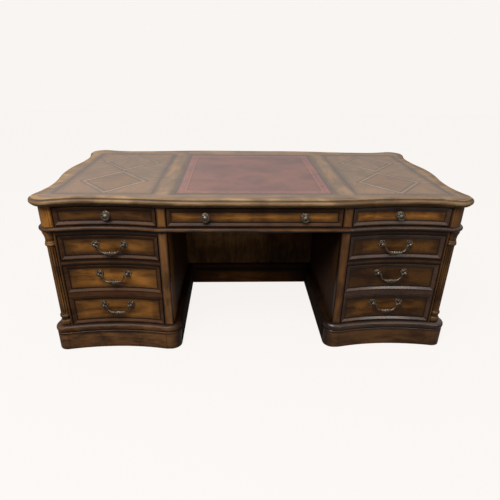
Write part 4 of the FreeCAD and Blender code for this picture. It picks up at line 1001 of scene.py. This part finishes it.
def bail_at(x, z):
    """The bent arms as one smooth rod, with carved lobes along its swell."""
    line = bpy.data.curves.new("bail line", "CURVE")
    line.dimensions = "3D"
    line.bevel_depth = 1 / ROD_SCALE
    line.bevel_resolution = 5
    line.use_fill_caps = True
    spline = line.splines.new("NURBS")
    points = BAIL_LINE + [(-across, down, radius) for across, down, radius in reversed(BAIL_LINE)]
    spline.points.add(len(points) - 1)
    for point, (across, down, radius) in zip(spline.points, points):
        point.co = (x + across, PULL_Y, z - down, 1.0)
        point.radius = radius * ROD_SCALE
    spline.order_u = 3
    spline.use_endpoint_u = True
    spline.resolution_u = 10
    carrier = bpy.data.objects.new("bail carrier", line)
    bpy.context.scene.collection.objects.link(carrier)
    bpy.context.view_layer.update()
    depsgraph = bpy.context.evaluated_depsgraph_get()
    arm = bpy.data.meshes.new_from_object(carrier.evaluated_get(depsgraph))
    bpy.data.objects.remove(carrier)
    for face in arm.polygons:
        face.use_smooth = True
    lobes = grown(bead_row, petal_mesh(*LOBE_SIZE), LOBE_ROW)
    return [arm, moved(lobes, x, PULL_Y, z - SWELL_DROP)]


PULL_ZS = {"box_drawer": [("bail", 0.547)], "file_drawer": [("lower_bail", 0.234), ("upper_bail", 0.400)]}
for sign, side in ((-1, "left"), (1, "right")):
    for drawer, pulls in PULL_ZS.items():
        body = side + "_" + drawer
        rosettes = []
        for bail, z in pulls:
            for shift in (-ROSETTE_HALF, ROSETTE_HALF):
                rosettes += rosette_at(sign * (PULL_X + shift), z)
            name = body + "_" + bail
            joined(name + "_cast", name, pewter, bail_at(sign * PULL_X, z), name)
        joined(body + "_rosettes_cast", body, pewter, rosettes, body + "_rosettes")


# The frieze drawers have round cast knobs of the same metal: a wide rose, a waisted neck and a lobed
# disc with a ring sunk round its domed middle. One screw from inside the drawer holds each.
KNOB_R = 0.021
KNOB_OUT = 0.030
KNOB_STEPS = 96
KNOB_LOBES = 12
LOBE_DEPTH = 0.10
# The rings of a knob, as height, share of its radius and share of the lobes.
KNOB_RINGS = [(-0.0006, 0.97, 0.0), (0.0014, 0.99, 0.0), (0.0030, 0.94, 0.0), (0.0040, 0.80, 0.0),
              (0.0052, 0.56, 0.0), (0.0090, 0.46, 0.0), (0.0118, 0.52, 0.0), (0.0136, 0.78, 0.5),
              (0.0152, 0.93, 1.0), (0.0176, 0.985, 1.0), (0.0198, 0.96, 1.0), (0.0214, 0.86, 0.8),
              (0.0214, 0.72, 0.3), (0.0202, 0.62, 0.0), (0.0204, 0.52, 0.0), (0.0228, 0.44, 0.0),
              (0.0250, 0.30, 0.0), (0.0258, 0.15, 0.0), (0.0260, 0.04, 0.0)]


def knob_at(x, y, z):
    rings = [(out, KNOB_R * share, carving) for out, share, carving in KNOB_RINGS]
    knob = turned_mesh(rings, KNOB_STEPS, KNOB_LOBES, LOBE_DEPTH)
    return [moved(facing_front(knob), x, y, z)]


for side in ("left", "right"):
    node = side + "_frieze_drawer_knob"
    low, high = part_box(node)
    middle = (low + high) / 2
    knob = knob_at(middle.x, low.y + KNOB_OUT, middle.z)
    joined(node + "_cast", side + "_frieze_drawer", pewter, knob, node)
low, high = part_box("centre_drawer_knobs")
knobs = []
for sign in (-1, 1):
    knobs += knob_at(sign * (high.x - KNOB_R), low.y + KNOB_OUT, (low.z + high.z) / 2)
joined("centre_drawer_knobs_cast", "centre_drawer", pewter, knobs, "centre_drawer_knobs")


# The desk stands on a plain pale floor under a soft ceiling light, with a lamp high at the front left
# and a small window low at the front right. The floor is pale to the eye but gives little light back.
PALE = tone(249, 245, 242)
FLOOR_REACH = 9
FLOOR_GLOW = 1.02
FLOOR_LIT = 0.06
FLOOR_MIRRORED = 0.2
SKY_GLOW = 0.45
LEAST_GLOW = 0.04


def pale_floor():
    """A floor that glows pale to the eye, with a share of real light that keeps the shadow."""
    material = bpy.data.materials.new("pale_floor")
    material.use_nodes = True
    tree = material.node_tree
    tree.nodes.remove(tree.nodes["Principled BSDF"])
    rays = tree.nodes.new("ShaderNodeLightPath")
    mirrored = Shade(tree, rays.outputs["Is Glossy Ray"]) * FLOOR_MIRRORED
    seen = Shade(tree, rays.outputs["Is Camera Ray"]).most(mirrored)
    glow = seen.node("ShaderNodeEmission", {}, {"Color": PALE, "Strength": FLOOR_GLOW})
    lit = seen.node("ShaderNodeBsdfDiffuse", {}, {"Color": tone(232, 228, 224)})
    dull = seen.node("ShaderNodeBsdfDiffuse", {}, {"Color": tone(34, 30, 27)})
    pale = seen.node("ShaderNodeMixShader", {}, {0: FLOOR_LIT, 1: glow, 2: lit})
    both = seen.node("ShaderNodeMixShader", {}, {0: seen, 1: dull, 2: pale})
    both.feed(tree.nodes["Material Output"], "Surface")
    return material


corners = [(-FLOOR_REACH, -FLOOR_REACH, 0), (FLOOR_REACH, -FLOOR_REACH, 0),
           (FLOOR_REACH, FLOOR_REACH, 0), (-FLOOR_REACH, FLOOR_REACH, 0)]
floor_mesh = bpy.data.meshes.new("floor")
floor_mesh.from_pydata(corners, [], [(0, 1, 2, 3)])
floor_mesh.materials.append(pale_floor())
floor = bpy.data.objects.new("floor", floor_mesh)
bpy.context.scene.collection.objects.link(floor)

world = bpy.data.worlds.new("pale room")
world.use_nodes = True
bpy.context.scene.world = world
rays = world.node_tree.nodes.new("ShaderNodeLightPath")
seen = Shade(world.node_tree, rays.outputs["Is Camera Ray"])
mirrored = Shade(world.node_tree, rays.outputs["Is Glossy Ray"])
heading = Shade(world.node_tree, world.node_tree.nodes.new("ShaderNodeTexCoord").outputs["Generated"])
lift = heading.axes()[2].ramp(0.0, 0.5)
dim = lift * SKY_GLOW + mirrored * lift * SKY_GLOW + LEAST_GLOW
strength = seen.most(dim)
background = world.node_tree.nodes["Background"]
background.inputs["Color"].default_value = PALE
strength.feed(background, "Strength")


def hung(name, kind, energy, place, target):
    """A light at a place, turned towards a target."""
    light = bpy.data.lights.new(name, kind)
    light.energy = energy
    hanging = bpy.data.objects.new(name, light)
    hanging.location = place
    hanging.rotation_euler = (Vector(target) - hanging.location).to_track_quat("-Z", "Y").to_euler()
    bpy.context.scene.collection.objects.link(hanging)
    return light


ceiling = hung("soft ceiling", "SUN", 0.9, (0.0, 0.0, 0.0), (0.25, -0.25, -1.0))
ceiling.angle = math.radians(110)
lamp = hung("front light", "AREA", 129, (-1.1, -2.4, 3.4), (0.0, -0.3, 0.45))
lamp.size = 1.7
window = hung("window light", "AREA", 10, (1.80, -3.25, 1.56), (0.65, -0.47, 0.5))
window.size = 0.6
window.color = (1.0, 0.97, 0.93)

# The camera stands where the photo was taken from, as fitted to the desk's outline and joints.
EYE = Vector((-0.0890, -2.1942, 1.3230))
PITCH = math.radians(25.25)
YAW = math.radians(2.55)
ROLL = math.radians(0.96)
ahead = Vector((math.sin(YAW) * math.cos(PITCH), math.cos(YAW) * math.cos(PITCH), -math.sin(PITCH)))
aside = Vector((math.cos(YAW), -math.sin(YAW), 0.0))
above = aside.cross(ahead)
rolled_aside = aside * math.cos(ROLL) + above * math.sin(ROLL)
rolled_above = above * math.cos(ROLL) - aside * math.sin(ROLL)
lens = bpy.data.cameras.new("photo view")
lens.sensor_width = 36.0
lens.lens = 30.40
lens.shift_x = -0.0040
lens.shift_y = 0.0065
camera = bpy.data.objects.new("photo view", lens)
turn = Matrix((rolled_aside, rolled_above, -ahead)).transposed()
camera.matrix_world = Matrix.Translation(EYE) @ turn.to_4x4()
bpy.context.scene.collection.objects.link(camera)
bpy.context.scene.camera = camera
bpy.context.scene.view_settings.view_transform = "Standard"
